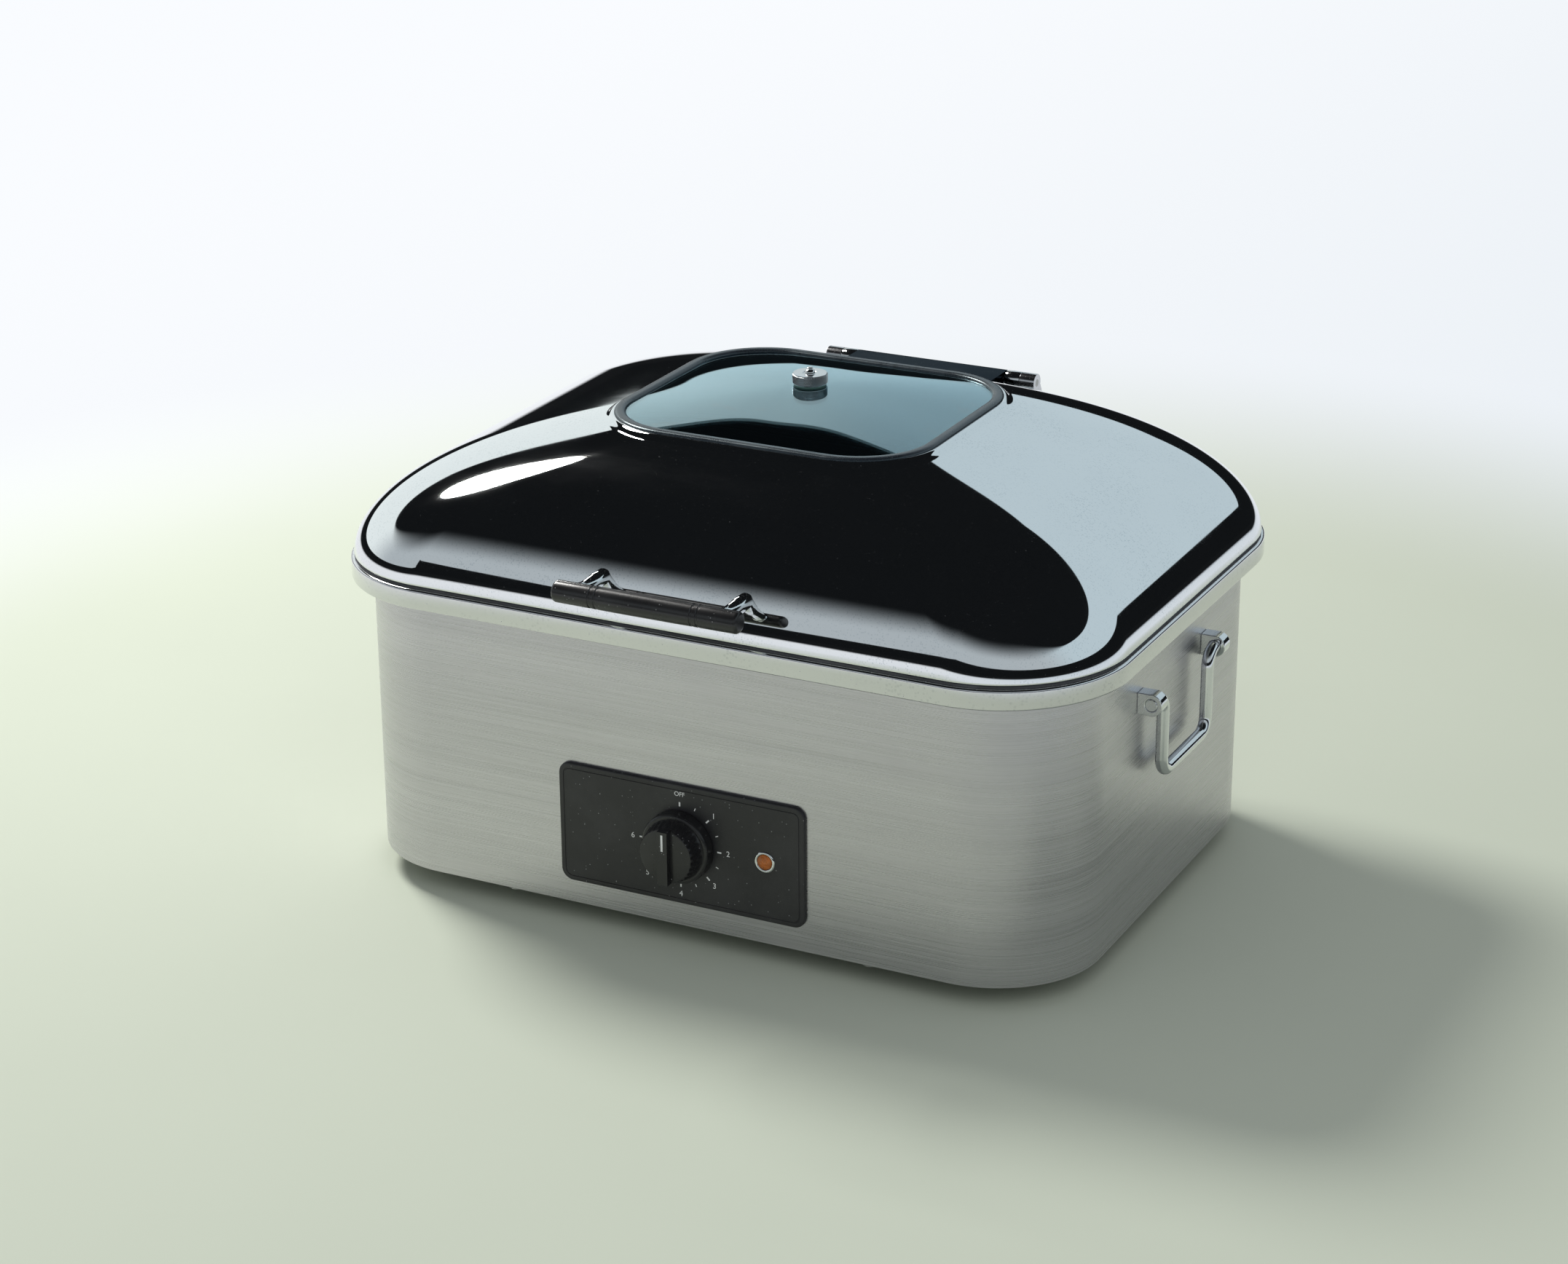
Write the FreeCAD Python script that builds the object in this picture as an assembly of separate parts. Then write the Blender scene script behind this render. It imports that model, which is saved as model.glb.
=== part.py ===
import FreeCAD, Part
import math
import os

from FreeCAD import Vector

# Lid: a pillow-shaped dome that falls from a window to a rounded rectangular rim
lid_half_length = 260.0
lid_half_depth = 190.0
lid_corner_radius = 82.0
lid_drop = 86.0
lid_sheet = 1.0
lid_slope_share = 0.4
lid_levels = 7
lid_level_crowding = 1.8
lid_bead_width = 2.4
lid_bead_height = 3.0

# Window: collar pressed up from the dome, rubber gasket, crowned glass
window_half_length = 108.8
window_half_depth = 97.6
window_corner_radius = 53.0
collar_rim_width = 3.8
collar_height = 3.0
gasket_width = 7.5
gasket_lip = 1.8
gasket_seat = 3.5
glass_grip = 2.0
glass_thickness = 4.0
glass_rise = 12.1
glass_levels = 5
glass_flat_share = 0.12

# Vent in the middle of the glass
stud_radius = 3.0
stud_head_radius = 3.3
stud_tip_radius = 2.1
stud_collar_height = 1.4
stud_tip_height = 2.1
stud_tail = 2.4
vent_knob_radius = 11.25
vent_knob_height = 6.6
vent_knob_chamfer = 0.6
vent_washer_radius = 10.4
vent_washer_height = 1.0
vent_nut_across_flats = 10.0
vent_nut_height = 5.0

# Handle across the front of the lid
grip_radius = 7.0
grip_half_length = 62.0
grip_height = 240.0
grip_reach = 26.0
post_radius = 5.0
post_x = 48.0

# Hinge behind the lid
hinge_below_window = 30.5
hinge_behind_window = 185.0
knuckle_radius = 6.0
knuckle_inner = 55.0
knuckle_split = 66.0
knuckle_outer = 77.0
knuckle_gap = 0.3
pin_radius = 2.5
pin_depth = 20.0
leaf_thickness = 2.5
leaf_depth = 58.0
bracket_plate = 3.0
bracket_low = 120.0
bracket_high = 175.0
bracket_screw_x = 50.0
bracket_screw_heights = (135.0, 160.0)
arm_front = 193.5
arm_thickness = 5.5
arm_bend_inside = 196.0
arm_bend_outside = 193.5
arm_neck_inside = 20.0
arm_neck_outside = 18.0
arm_neck_back = 4.8
bracket_screw_length = 12.0

# Base: feet, wrap, rim and the nested tubs
foot_height = 16.0
foot_radius = 17.0
foot_taper = 2.0
foot_inset = 62.0
foot_recess = 8.4
sheet = 0.8
floor_plate = 1.0
housing_half_length = 248.0
housing_half_depth = 178.0
housing_corner_radius = 70.0
housing_top = 210.2
low_flange_width = 14.0
top_flange_width = 22.0
floor_screw_length = 8.4
vent_slot_count = 9
vent_slot_pitch = 14.0
vent_slot_length = 60.0
vent_slot_width = 4.0
rim_half_length = 262.0
rim_half_depth = 192.0
rim_corner_radius = 84.0
rim_thickness = 2.0
rim_width = 43.0
rim_lip = 2.4
rim_lip_depth = 13.0
rim_edge_round = 1.8
seal_inset = 2.2
seal_width = 7.0
seal_height = 1.1
lid_gap = 0.4
well_half_length = 217.2
well_half_depth = 147.2
well_corner_radius = 39.2
well_floor = 84.0
well_flange = 14.0
tub_bottom_round = 20.0
blanket_thickness = 12.0
blanket_gap = 0.5
blanket_low = 108.0
blanket_high = 204.0
pot_half_length = 210.5
pot_half_depth = 140.5
pot_corner_radius = 34.0
pot_wall = 2.5
pot_floor = 90.0
pot_flange = 19.5

# Heating parts below the well
element_radius = 3.5
element_half_length = 150.0
element_half_depth = 85.0
element_gap = 18.0
element_tail = 30.0
element_bend = 25.0
clamp_x = 75.0
clamp_sheet = 1.2
clamp_half_length = 6.0
clamp_room = 5.5
shield_half_length = 190.0
shield_half_depth = 125.0
shield_corner = 30.0
shield_height = 62.0
shield_sheet = 1.0
standoff_x = 120.0
standoff_y = 95.0
standoff_radius = 4.0
fuse_radius = 3.0
fuse_half_length = 10.0
fuse_y = 40.0

# Controls on the front wall
panel_half_width = 85.0
panel_half_height = 40.0
panel_corner = 8.0
panel_thickness = 2.5
panel_height = 72.0
knob_radius = 23.0
knob_top_radius = 18.0
knob_height = 23.0
knob_skirt = 8.0
knob_hollow_radius = 17.0
knob_hollow_depth = 6.0
knob_gap = 0.6
pointer_half_width = 3.5
pointer_rise = 4.0
shaft_radius = 3.0
shaft_front = 20.0
shaft_back = 18.0
bush_radius = 5.0
bush_front = 3.2
switch_half = 16.0
switch_depth = 24.0
switch_nut_radius = 7.5
switch_nut_height = 2.5
lamp_x = 58.0
lamp_radius = 5.0
lamp_stand = 1.5
lamp_holder_radius = 7.0
lamp_holder_depth = 18.0

# Carrying handles that hang on the two end walls
bail_rod = 4.0
bail_half_width = 38.0
bail_drop = 52.0
bail_bend = 10.0
bail_height = 165.0
bail_stand = 9.0
lug_start = 49.0
lug_length = 10.0
lug_half = 7.0

# Mains inlet on the rear wall
inlet_x = -150.0
inlet_z = 46.0
inlet_half_width = 25.0
inlet_half_height = 12.0
inlet_flange = 3.0
inlet_body_half_width = 13.5
inlet_body_half_height = 10.0
inlet_depth = 26.0
inlet_wall = 1.6
inlet_socket_depth = 16.0
inlet_screw_x = 20.0
inlet_screw_length = 9.0
inlet_pin_pitch = 7.0
inlet_pin_half = (1.0, 2.0)
inlet_pin_length = 13.0
inlet_pin_drop = 3.0
inlet_earth_rise = 1.0

# Inner wires
wire_radius = 1.5
wire_bend = 18.0
link_bend = 8.0
link_lead = 13.0
link_tail = 14.5
earth_run = 43.0
wire_low = 38.0
wire_high = 46.0
earth_height = 52.0
wire_turn_y = -120.0
neutral_turn_y = -140.0

# Fits and fasteners
running_gap = 0.05
clear_gap = 0.2
screw_radius = 2.0
screw_head_radius = 4.0
screw_head_height = 2.4
overshoot = 5.0

# Places that follow from the sizes above
floor_top = foot_height + floor_plate
rim_low = housing_top + sheet
rim_top = rim_low + rim_thickness
lid_low = rim_top + seal_height + lid_gap
dome_top = lid_low + lid_drop
collar_top = dome_top + collar_height
gasket_top = collar_top + gasket_lip
glass_top = collar_top + glass_rise * (1 - glass_flat_share ** 2)
glass_low = collar_top - glass_thickness
hinge_y = hinge_behind_window
hinge_z = gasket_top - hinge_below_window
element_z = well_floor - clear_gap - element_radius
front_wall = -housing_half_depth
rear_wall = housing_half_depth
panel_face = front_wall - panel_thickness
switch_back = front_wall + sheet + switch_depth
grip_y = -lid_half_depth - grip_reach
frame_shift = (grip_radius - grip_y - arm_front - arm_thickness) / 2

x_axis = Vector(1, 0, 0)
y_axis = Vector(0, 1, 0)
z_axis = Vector(0, 0, 1)


def outline(half_x, half_y, radius, z):
    edges = []
    corner_x = half_x - radius
    corner_y = half_y - radius
    corners = [(corner_x, corner_y), (-corner_x, corner_y), (-corner_x, -corner_y), (corner_x, -corner_y)]
    arcs = []
    for turn, (x, y) in enumerate(corners):
        angles = [math.radians(90 * turn + 45 * step) for step in range(3)]
        arcs.append([Vector(x + radius * math.cos(a), y + radius * math.sin(a), z) for a in angles])
    for arc, following in zip(arcs, arcs[1:] + arcs[:1]):
        edges.append(Part.Arc(*arc).toShape())
        edges.append(Part.LineSegment(arc[2], following[0]).toShape())
    return Part.Wire(edges)


def slab(half_x, half_y, radius, low, high):
    return Part.Face(outline(half_x, half_y, radius, low)).extrude(z_axis * (high - low))


def ring(half_x, half_y, radius, width, low, high):
    outer = slab(half_x, half_y, radius, low, high)
    inner = slab(half_x - width, half_y - width, radius - width, low - overshoot, high + overshoot)
    return outer.cut(inner)


def box(x0, x1, y0, y1, z0, z1):
    return Part.makeBox(x1 - x0, y1 - y0, z1 - z0, Vector(x0, y0, z0))


def rod(start, end, radius):
    return Part.makeCylinder(radius, (end - start).Length, start, end - start)


def y_rod(x, z, y0, y1, radius):
    return rod(Vector(x, y0, z), Vector(x, y1, z), radius)


def x_rod(y, z, x0, x1, radius):
    return rod(Vector(x0, y, z), Vector(x1, y, z), radius)


def z_rod(x, y, z0, z1, radius):
    return rod(Vector(x, y, z0), Vector(x, y, z1), radius)


def mirrored_x(shape):
    return shape.mirror(Vector(0, 0, 0), x_axis)


def four_corners(x, y):
    return [Vector(sx * x, sy * y, 0) for sx in (-1, 1) for sy in (-1, 1)]


def level_edges(shape, z):
    flat = [edge for edge in shape.Edges if edge.BoundBox.ZLength < 0.01]
    return [edge for edge in flat if abs(edge.BoundBox.ZMin - z) < 0.01]


def front_facing(shape, x, y, z):
    turned = shape.rotated(Vector(0, 0, 0), x_axis, 90)
    return turned.translated(Vector(x, y, z))


def bent_tube(points, radius, bend):
    edges = []
    start = points[0]
    for before, corner, after in zip(points, points[1:], points[2:]):
        arriving = (corner - before).normalize()
        leaving = (after - corner).normalize()
        turn = arriving.getAngle(leaving)
        setback = bend * math.tan(turn / 2)
        first = corner - arriving * setback
        last = corner + leaving * setback
        inward = (leaving - arriving).normalize()
        middle = corner + inward * (bend / math.cos(turn / 2) - bend)
        edges.append(Part.LineSegment(start, first).toShape())
        edges.append(Part.Arc(first, middle, last).toShape())
        start = last
    edges.append(Part.LineSegment(start, points[-1]).toShape())
    circle = Part.Wire(Part.Circle(points[0], points[1] - points[0], radius).toShape())
    return Part.Wire(edges).makePipeShell([circle], True, True)


def screw(head, toward, length):
    cap = Part.makeCylinder(screw_head_radius, screw_head_height, head - toward * screw_head_height, toward)
    return cap.fuse(Part.makeCylinder(screw_radius, length, head, toward))


# Lid


def dome_fall(share):
    return lid_slope_share * share + (1 - lid_slope_share) * (1 - math.sqrt(1 - share ** 3))


def dome_form(inset):
    wires = []
    top_x = window_half_length + collar_rim_width
    top_y = window_half_depth + collar_rim_width
    top_radius = window_corner_radius + collar_rim_width
    for level in range(lid_levels + 1):
        share = 1 - (1 - level / lid_levels) ** lid_level_crowding
        half_x = top_x + (lid_half_length - top_x) * share - inset
        half_y = top_y + (lid_half_depth - top_y) * share - inset
        radius = top_radius + (lid_corner_radius - top_radius) * share - inset
        wires.append(outline(half_x, half_y, radius, dome_top - lid_drop * dome_fall(share) - inset))
    return Part.makeLoft(wires, True, False)


def window_slab(inset, low, high):
    half_x = window_half_length - inset
    half_y = window_half_depth - inset
    return slab(half_x, half_y, window_corner_radius - inset, low, high)


def lid_dome():
    shell = dome_form(0).cut(dome_form(lid_sheet))
    bead = ring(lid_half_length, lid_half_depth, lid_corner_radius, lid_bead_width,
                lid_low, lid_low + lid_bead_height)
    collar = window_slab(-collar_rim_width, dome_top - lid_sheet, collar_top)
    collar = collar.makeFillet(collar_height / 2, level_edges(collar, collar_top))
    opening = window_slab(gasket_seat, lid_low, collar_top + overshoot)
    return shell.fuse([bead, collar]).cut(opening)


def window_gasket():
    lip = window_slab(0, collar_top, gasket_top).cut(window_slab(gasket_width, collar_top, gasket_top))
    lip = lip.makeFillet(gasket_lip / 2, level_edges(lip, gasket_top))
    body = window_slab(gasket_seat, glass_low - gasket_lip, collar_top)
    body = body.cut(window_slab(gasket_width, glass_low - gasket_lip, collar_top))
    groove = window_slab(gasket_width - glass_grip, glass_low, collar_top)
    return lip.fuse(body.cut(groove))


def glass_crown(drop):
    wires = []
    half_x = window_half_length - gasket_width
    half_y = window_half_depth - gasket_width
    radius = window_corner_radius - gasket_width
    for level in range(glass_levels + 1):
        share = 1 - (1 - glass_flat_share) * level / glass_levels
        height = collar_top - drop + glass_rise * (1 - share ** 2)
        wires.append(outline(half_x * share, half_y * share, radius * share, height))
    return Part.makeLoft(wires, True, False)


def window_glass():
    pane = window_slab(gasket_width - glass_grip, glass_low, collar_top)
    pane = pane.fuse(glass_crown(0)).cut(glass_crown(glass_thickness))
    return pane.cut(z_rod(0, 0, lid_low, glass_top + overshoot, stud_radius + clear_gap))


def vent_parts():
    knob_low = glass_top + vent_washer_height + clear_gap
    head_low = knob_low + vent_knob_height + clear_gap
    tip_low = head_low + stud_collar_height
    washer_low = glass_top - glass_thickness - vent_washer_height
    nut_low = washer_low - vent_nut_height
    stud_low = nut_low - stud_tail
    running_bore = z_rod(0, 0, stud_low, head_low, stud_radius + running_gap)
    thread_bore = z_rod(0, 0, stud_low, head_low, stud_radius)
    knob = z_rod(0, 0, knob_low, knob_low + vent_knob_height, vent_knob_radius)
    ends = level_edges(knob, knob_low) + level_edges(knob, knob_low + vent_knob_height)
    knob = knob.makeChamfer(vent_knob_chamfer, ends)
    collar = z_rod(0, 0, head_low, tip_low, stud_head_radius)
    tip = Part.makeCone(stud_radius, stud_tip_radius, stud_tip_height, Vector(0, 0, tip_low))
    washer = z_rod(0, 0, glass_top, glass_top + vent_washer_height, vent_washer_radius)
    lower_washer = z_rod(0, 0, washer_low, washer_low + vent_washer_height, vent_washer_radius)
    corner = vent_nut_across_flats / 2 / math.cos(math.pi / 6)
    angles = [math.radians(60 * k) for k in range(7)]
    corners = [Vector(corner * math.cos(a), corner * math.sin(a), nut_low) for a in angles]
    hexagon = Part.makePolygon(corners)
    nut = Part.Face(hexagon).extrude(z_axis * vent_nut_height)
    return {
        "vent_knob": knob.cut(running_bore),
        "vent_stud": thread_bore.fuse([collar, tip]),
        "vent_washer": washer.cut(thread_bore),
        "vent_lower_washer": lower_washer.cut(thread_bore),
        "vent_nut": nut.cut(thread_bore),
    }


def lid_grip():
    grip = x_rod(grip_y, grip_height, -grip_half_length, grip_half_length, grip_radius)
    ends = [edge for edge in grip.Edges if edge.BoundBox.XLength < 0.01]
    return grip.makeFillet(grip_radius / 3, ends)


def lid_grip_posts():
    post = y_rod(post_x, grip_height, grip_y, grip_y + 2 * grip_reach, post_radius)
    post = post.cut(dome_form(0)).cut(lid_grip())
    return Part.makeCompound([post, mirrored_x(post)])


# Hinge


def hinge_leaf():
    top = hinge_z + knuckle_radius
    leaf = box(-knuckle_inner, knuckle_inner, hinge_y - leaf_depth, hinge_y, top - leaf_thickness, top)
    barrel = x_rod(hinge_y, hinge_z, -knuckle_split, knuckle_split, knuckle_radius)
    leaf = leaf.fuse(barrel).cut(dome_form(0))
    bore_start = knuckle_split - pin_depth - clear_gap
    bore = x_rod(hinge_y, hinge_z, bore_start, knuckle_split, pin_radius + running_gap)
    return leaf.cut([bore, mirrored_x(bore)])


def hinge_pin():
    return x_rod(hinge_y, hinge_z, knuckle_split - pin_depth, knuckle_outer, pin_radius)


def hinge_arm():
    rear = arm_front + arm_thickness
    foot = rear_wall + 2 * bracket_plate
    profile = [
        (rear_wall, bracket_low),
        (rear_wall, bracket_high),
        (arm_front, arm_bend_inside),
        (arm_front, hinge_z - arm_neck_inside),
        (hinge_y - knuckle_radius / 2, hinge_z - knuckle_radius / 3),
        (hinge_y + arm_neck_back, hinge_z),
        (rear, hinge_z - arm_neck_outside),
        (rear, arm_bend_outside),
        (foot, bracket_high),
        (foot, bracket_low),
    ]
    start = knuckle_split + knuckle_gap
    points = [Vector(start, y, z) for y, z in profile]
    arm = Part.Face(Part.makePolygon(points + points[:1])).extrude(x_axis * (knuckle_outer - start))
    arm = arm.fuse(x_rod(hinge_y, hinge_z, start, knuckle_outer, knuckle_radius))
    return arm.cut(hinge_pin())


def bracket_screw_places():
    return [(x, z) for x in (-bracket_screw_x, bracket_screw_x) for z in bracket_screw_heights]


def hinge_bracket():
    arm = hinge_arm()
    face = rear_wall + bracket_plate
    plate = box(-knuckle_outer, knuckle_outer, rear_wall, face, bracket_low, bracket_high)
    holes = [y_rod(x, z, rear_wall, face, screw_radius) for x, z in bracket_screw_places()]
    return plate.fuse([arm, mirrored_x(arm)]).cut(holes)


def bracket_screws():
    face = rear_wall + bracket_plate
    return [screw(Vector(x, face, z), -y_axis, bracket_screw_length) for x, z in bracket_screw_places()]


# Base


def foot_places():
    return four_corners(housing_half_length - foot_inset, housing_half_depth - foot_inset)


def floor_screw_places():
    along = four_corners(housing_half_length / 2, housing_half_depth - low_flange_width / 2)
    return along + four_corners(housing_half_length - low_flange_width / 2, housing_half_depth / 3)


def housing_ring(width, low, high):
    return ring(housing_half_length, housing_half_depth, housing_corner_radius, width, low, high)


def housing_shell():
    wall = housing_ring(sheet, foot_height, housing_top)
    low_flange = housing_ring(low_flange_width, floor_top, floor_top + sheet)
    top_flange = housing_ring(top_flange_width, housing_top - sheet, housing_top)
    inside = rear_wall - 2 * sheet
    holes = [y_rod(x, z, inside, rear_wall, screw_radius) for x, z in bracket_screw_places()]
    holes += [z_rod(p.x, p.y, floor_top, floor_top + sheet, screw_radius) for p in floor_screw_places()]
    holes += [y_rod(x, inlet_z, inside, rear_wall, screw_radius) for x in inlet_screw_places()]
    holes.append(y_rod(0, panel_height, front_wall, front_wall + 2 * sheet, bush_radius))
    holes.append(y_rod(lamp_x, panel_height, front_wall, front_wall + 2 * sheet, lamp_radius))
    holes.append(inlet_block(0, inside, rear_wall))
    return wall.fuse([low_flange, top_flange]).cut(holes)


def base_plate():
    inset = sheet + clear_gap
    plate = slab(housing_half_length - inset, housing_half_depth - inset, housing_corner_radius - inset,
                 foot_height, floor_top)
    places = foot_places() + floor_screw_places()
    holes = [z_rod(p.x, p.y, foot_height, floor_top, screw_radius) for p in places]
    for slot in range(vent_slot_count):
        x = (slot - (vent_slot_count - 1) / 2) * vent_slot_pitch
        holes.append(box(x - vent_slot_width / 2, x + vent_slot_width / 2,
                         -vent_slot_length / 2, vent_slot_length / 2, foot_height, floor_top))
    return plate.cut(holes)


def foot(place):
    body = Part.makeCone(foot_radius - foot_taper, foot_radius, foot_height, place)
    recess = z_rod(place.x, place.y, 0, foot_recess, screw_head_radius + clear_gap)
    return body.cut([recess, z_rod(place.x, place.y, 0, foot_height, screw_radius)])


def foot_screws():
    return [screw(place + z_axis * foot_recess, z_axis, foot_height) for place in foot_places()]


def floor_screws():
    heads = [place + z_axis * foot_height for place in floor_screw_places()]
    return [screw(head, z_axis, floor_screw_length) for head in heads]


def top_rim():
    low = rim_top - rim_lip_depth
    body = slab(rim_half_length, rim_half_depth, rim_corner_radius, low, rim_top)
    body = body.makeFillet(rim_edge_round, level_edges(body, rim_top))
    under = slab(rim_half_length - rim_lip, rim_half_depth - rim_lip, rim_corner_radius - rim_lip,
                 low, rim_low)
    mouth = slab(rim_half_length - rim_width, rim_half_depth - rim_width, rim_corner_radius - rim_width,
                 rim_low, rim_top)
    return body.cut([under, mouth])


def rim_seal():
    return ring(rim_half_length - seal_inset, rim_half_depth - seal_inset, rim_corner_radius - seal_inset,
                seal_width, rim_top, rim_top + seal_height)


def tub(half_x, half_y, radius, wall, low, high):
    outer = slab(half_x, half_y, radius, low, high)
    outer = outer.makeFillet(tub_bottom_round, level_edges(outer, low))
    inner = slab(half_x - wall, half_y - wall, radius - wall, low + wall, high + overshoot)
    inner = inner.makeFillet(tub_bottom_round - wall, level_edges(inner, low + wall))
    return outer.cut(inner)


def heating_well():
    body = tub(well_half_length, well_half_depth, well_corner_radius, sheet, well_floor, rim_low)
    flange = ring(well_half_length + well_flange, well_half_depth + well_flange,
                  well_corner_radius + well_flange, well_flange + sheet, housing_top, rim_low)
    return body.fuse(flange)


def insulation_blanket():
    reach = blanket_gap + blanket_thickness
    return ring(well_half_length + reach, well_half_depth + reach, well_corner_radius + reach,
                blanket_thickness, blanket_low, blanket_high)


def cooking_pot():
    top = rim_top + pot_wall
    body = tub(pot_half_length, pot_half_depth, pot_corner_radius, pot_wall, pot_floor, top)
    flange = ring(pot_half_length + pot_flange, pot_half_depth + pot_flange, pot_corner_radius + pot_flange,
                  pot_flange + pot_wall, rim_top, top)
    return body.fuse(flange)


# Heating


def heating_element():
    front = -element_half_depth
    plan = [
        (-element_gap, front - element_tail),
        (-element_gap, front),
        (-element_half_length, front),
        (-element_half_length, element_half_depth),
        (element_half_length, element_half_depth),
        (element_half_length, front),
        (element_gap, front),
        (element_gap, front - element_tail),
    ]
    return bent_tube([Vector(x, y, element_z) for x, y in plan], element_radius, element_bend)


def element_clamps():
    low = element_z - element_radius - clear_gap
    clamps = []
    for place in four_corners(clamp_x, element_half_depth):
        outer = clamp_room + clamp_sheet
        strap = box(place.x - clamp_half_length, place.x + clamp_half_length,
                    place.y - outer, place.y + outer, low - clamp_sheet, well_floor)
        room = box(place.x - clamp_half_length, place.x + clamp_half_length,
                   place.y - clamp_room, place.y + clamp_room, low, well_floor)
        clamps.append(strap.cut(room))
    return clamps


def heat_shield():
    top = shield_height + shield_sheet
    return slab(shield_half_length, shield_half_depth, shield_corner, shield_height, top)


def shield_standoffs():
    places = four_corners(standoff_x, standoff_y)
    return [z_rod(place.x, place.y, floor_top, shield_height, standoff_radius) for place in places]


def thermal_fuse():
    height = well_floor - clear_gap - fuse_radius
    return x_rod(fuse_y, height, -fuse_half_length, fuse_half_length, fuse_radius)


# Controls


def control_panel():
    plate = slab(panel_half_width, panel_half_height, panel_corner, 0, panel_thickness)
    plate = plate.makeFillet(panel_thickness / 2, level_edges(plate, panel_thickness))
    bush_hole = z_rod(0, 0, 0, panel_thickness, bush_radius)
    holes = [bush_hole, z_rod(lamp_x, 0, 0, panel_thickness, lamp_radius)]
    return front_facing(plate.cut(holes), 0, front_wall, panel_height)


def control_knob():
    skirt = z_rod(0, 0, 0, knob_skirt, knob_radius)
    skirt = skirt.makeFillet(knob_skirt / 4, level_edges(skirt, knob_skirt))
    crown = Part.makeCone(knob_radius - knob_skirt / 4, knob_top_radius, knob_height - pointer_rise)
    pointer = box(-pointer_half_width, pointer_half_width, -knob_top_radius, knob_top_radius,
                  0, knob_height)
    hollow = z_rod(0, 0, 0, knob_hollow_depth, knob_hollow_radius)
    bore = z_rod(0, 0, 0, shaft_front - knob_gap, shaft_radius)
    knob = skirt.fuse([crown, pointer]).cut([hollow, bore])
    return front_facing(knob, 0, panel_face - knob_gap, panel_height)


def control_shaft():
    return y_rod(0, panel_height, front_wall + shaft_back, panel_face - shaft_front, shaft_radius)


def rotary_switch():
    body = box(-switch_half, switch_half, front_wall + sheet, switch_back,
               panel_height - switch_half, panel_height + switch_half)
    bush = y_rod(0, panel_height, panel_face - bush_front, front_wall + 2 * sheet, bush_radius)
    bore = y_rod(0, panel_height, panel_face - bush_front, front_wall + shaft_back + clear_gap,
                 shaft_radius + running_gap)
    return body.fuse(bush).cut(bore)


def switch_nut():
    nut = y_rod(0, panel_height, panel_face - switch_nut_height, panel_face, switch_nut_radius)
    return nut.cut(y_rod(0, panel_height, panel_face - switch_nut_height, panel_face, bush_radius))


def pilot_lens():
    length = panel_thickness + sheet + lamp_stand
    barrel = z_rod(0, 0, 0, length, lamp_radius)
    barrel = barrel.makeFillet(lamp_stand, level_edges(barrel, length))
    return front_facing(barrel, lamp_x, front_wall + sheet, panel_height)


def lamp_holder():
    back = front_wall + sheet + lamp_holder_depth
    return y_rod(lamp_x, panel_height, front_wall + sheet, back, lamp_holder_radius)


# Carrying handles


def bail_handle():
    x = housing_half_length + bail_stand
    end = lug_start + lug_length
    low = bail_height - bail_drop
    half_path = [(-end, bail_height), (-bail_half_width, bail_height), (-bail_half_width, low)]
    path = half_path + [(-y, z) for y, z in reversed(half_path)]
    return bent_tube([Vector(x, y, z) for y, z in path], bail_rod, bail_bend)


def bail_lugs():
    x = housing_half_length + bail_stand
    lugs = []
    for start in (-lug_start - lug_length, lug_start):
        lug = box(housing_half_length, x, start, start + lug_length,
                  bail_height - lug_half, bail_height + lug_half)
        lug = lug.fuse(y_rod(x, bail_height, start, start + lug_length, lug_half))
        lugs.append(lug.cut(y_rod(x, bail_height, start, start + lug_length, bail_rod + running_gap)))
    return lugs


# Mains inlet and wires


def inlet_screw_places():
    return (inlet_x - inlet_screw_x, inlet_x + inlet_screw_x)


def inlet_block(inset, y0, y1):
    half_x = inlet_body_half_width - inset
    half_z = inlet_body_half_height - inset
    return box(inlet_x - half_x, inlet_x + half_x, y0, y1, inlet_z - half_z, inlet_z + half_z)


def power_inlet():
    face = rear_wall + inlet_flange
    flange = box(inlet_x - inlet_half_width, inlet_x + inlet_half_width, rear_wall, face,
                 inlet_z - inlet_half_height, inlet_z + inlet_half_height)
    body = inlet_block(0, rear_wall - inlet_depth, rear_wall)
    socket = inlet_block(inlet_wall, face - inlet_socket_depth, face)
    holes = [y_rod(x, inlet_z, rear_wall, face, screw_radius) for x in inlet_screw_places()]
    return flange.fuse(body).cut([socket] + holes)


def inlet_pins():
    back = rear_wall + inlet_flange - inlet_socket_depth
    half_x, half_z = inlet_pin_half
    pins = []
    for step, rise in ((-1, -inlet_pin_drop), (0, inlet_earth_rise), (1, -inlet_pin_drop)):
        x = inlet_x + step * inlet_pin_pitch
        z = inlet_z + rise
        pins.append(box(x - half_x, x + half_x, back, back + inlet_pin_length, z - half_z, z + half_z))
    return pins


def inlet_screws():
    face = rear_wall + inlet_flange
    return [screw(Vector(x, face, inlet_z), -y_axis, inlet_screw_length) for x in inlet_screw_places()]


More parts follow.
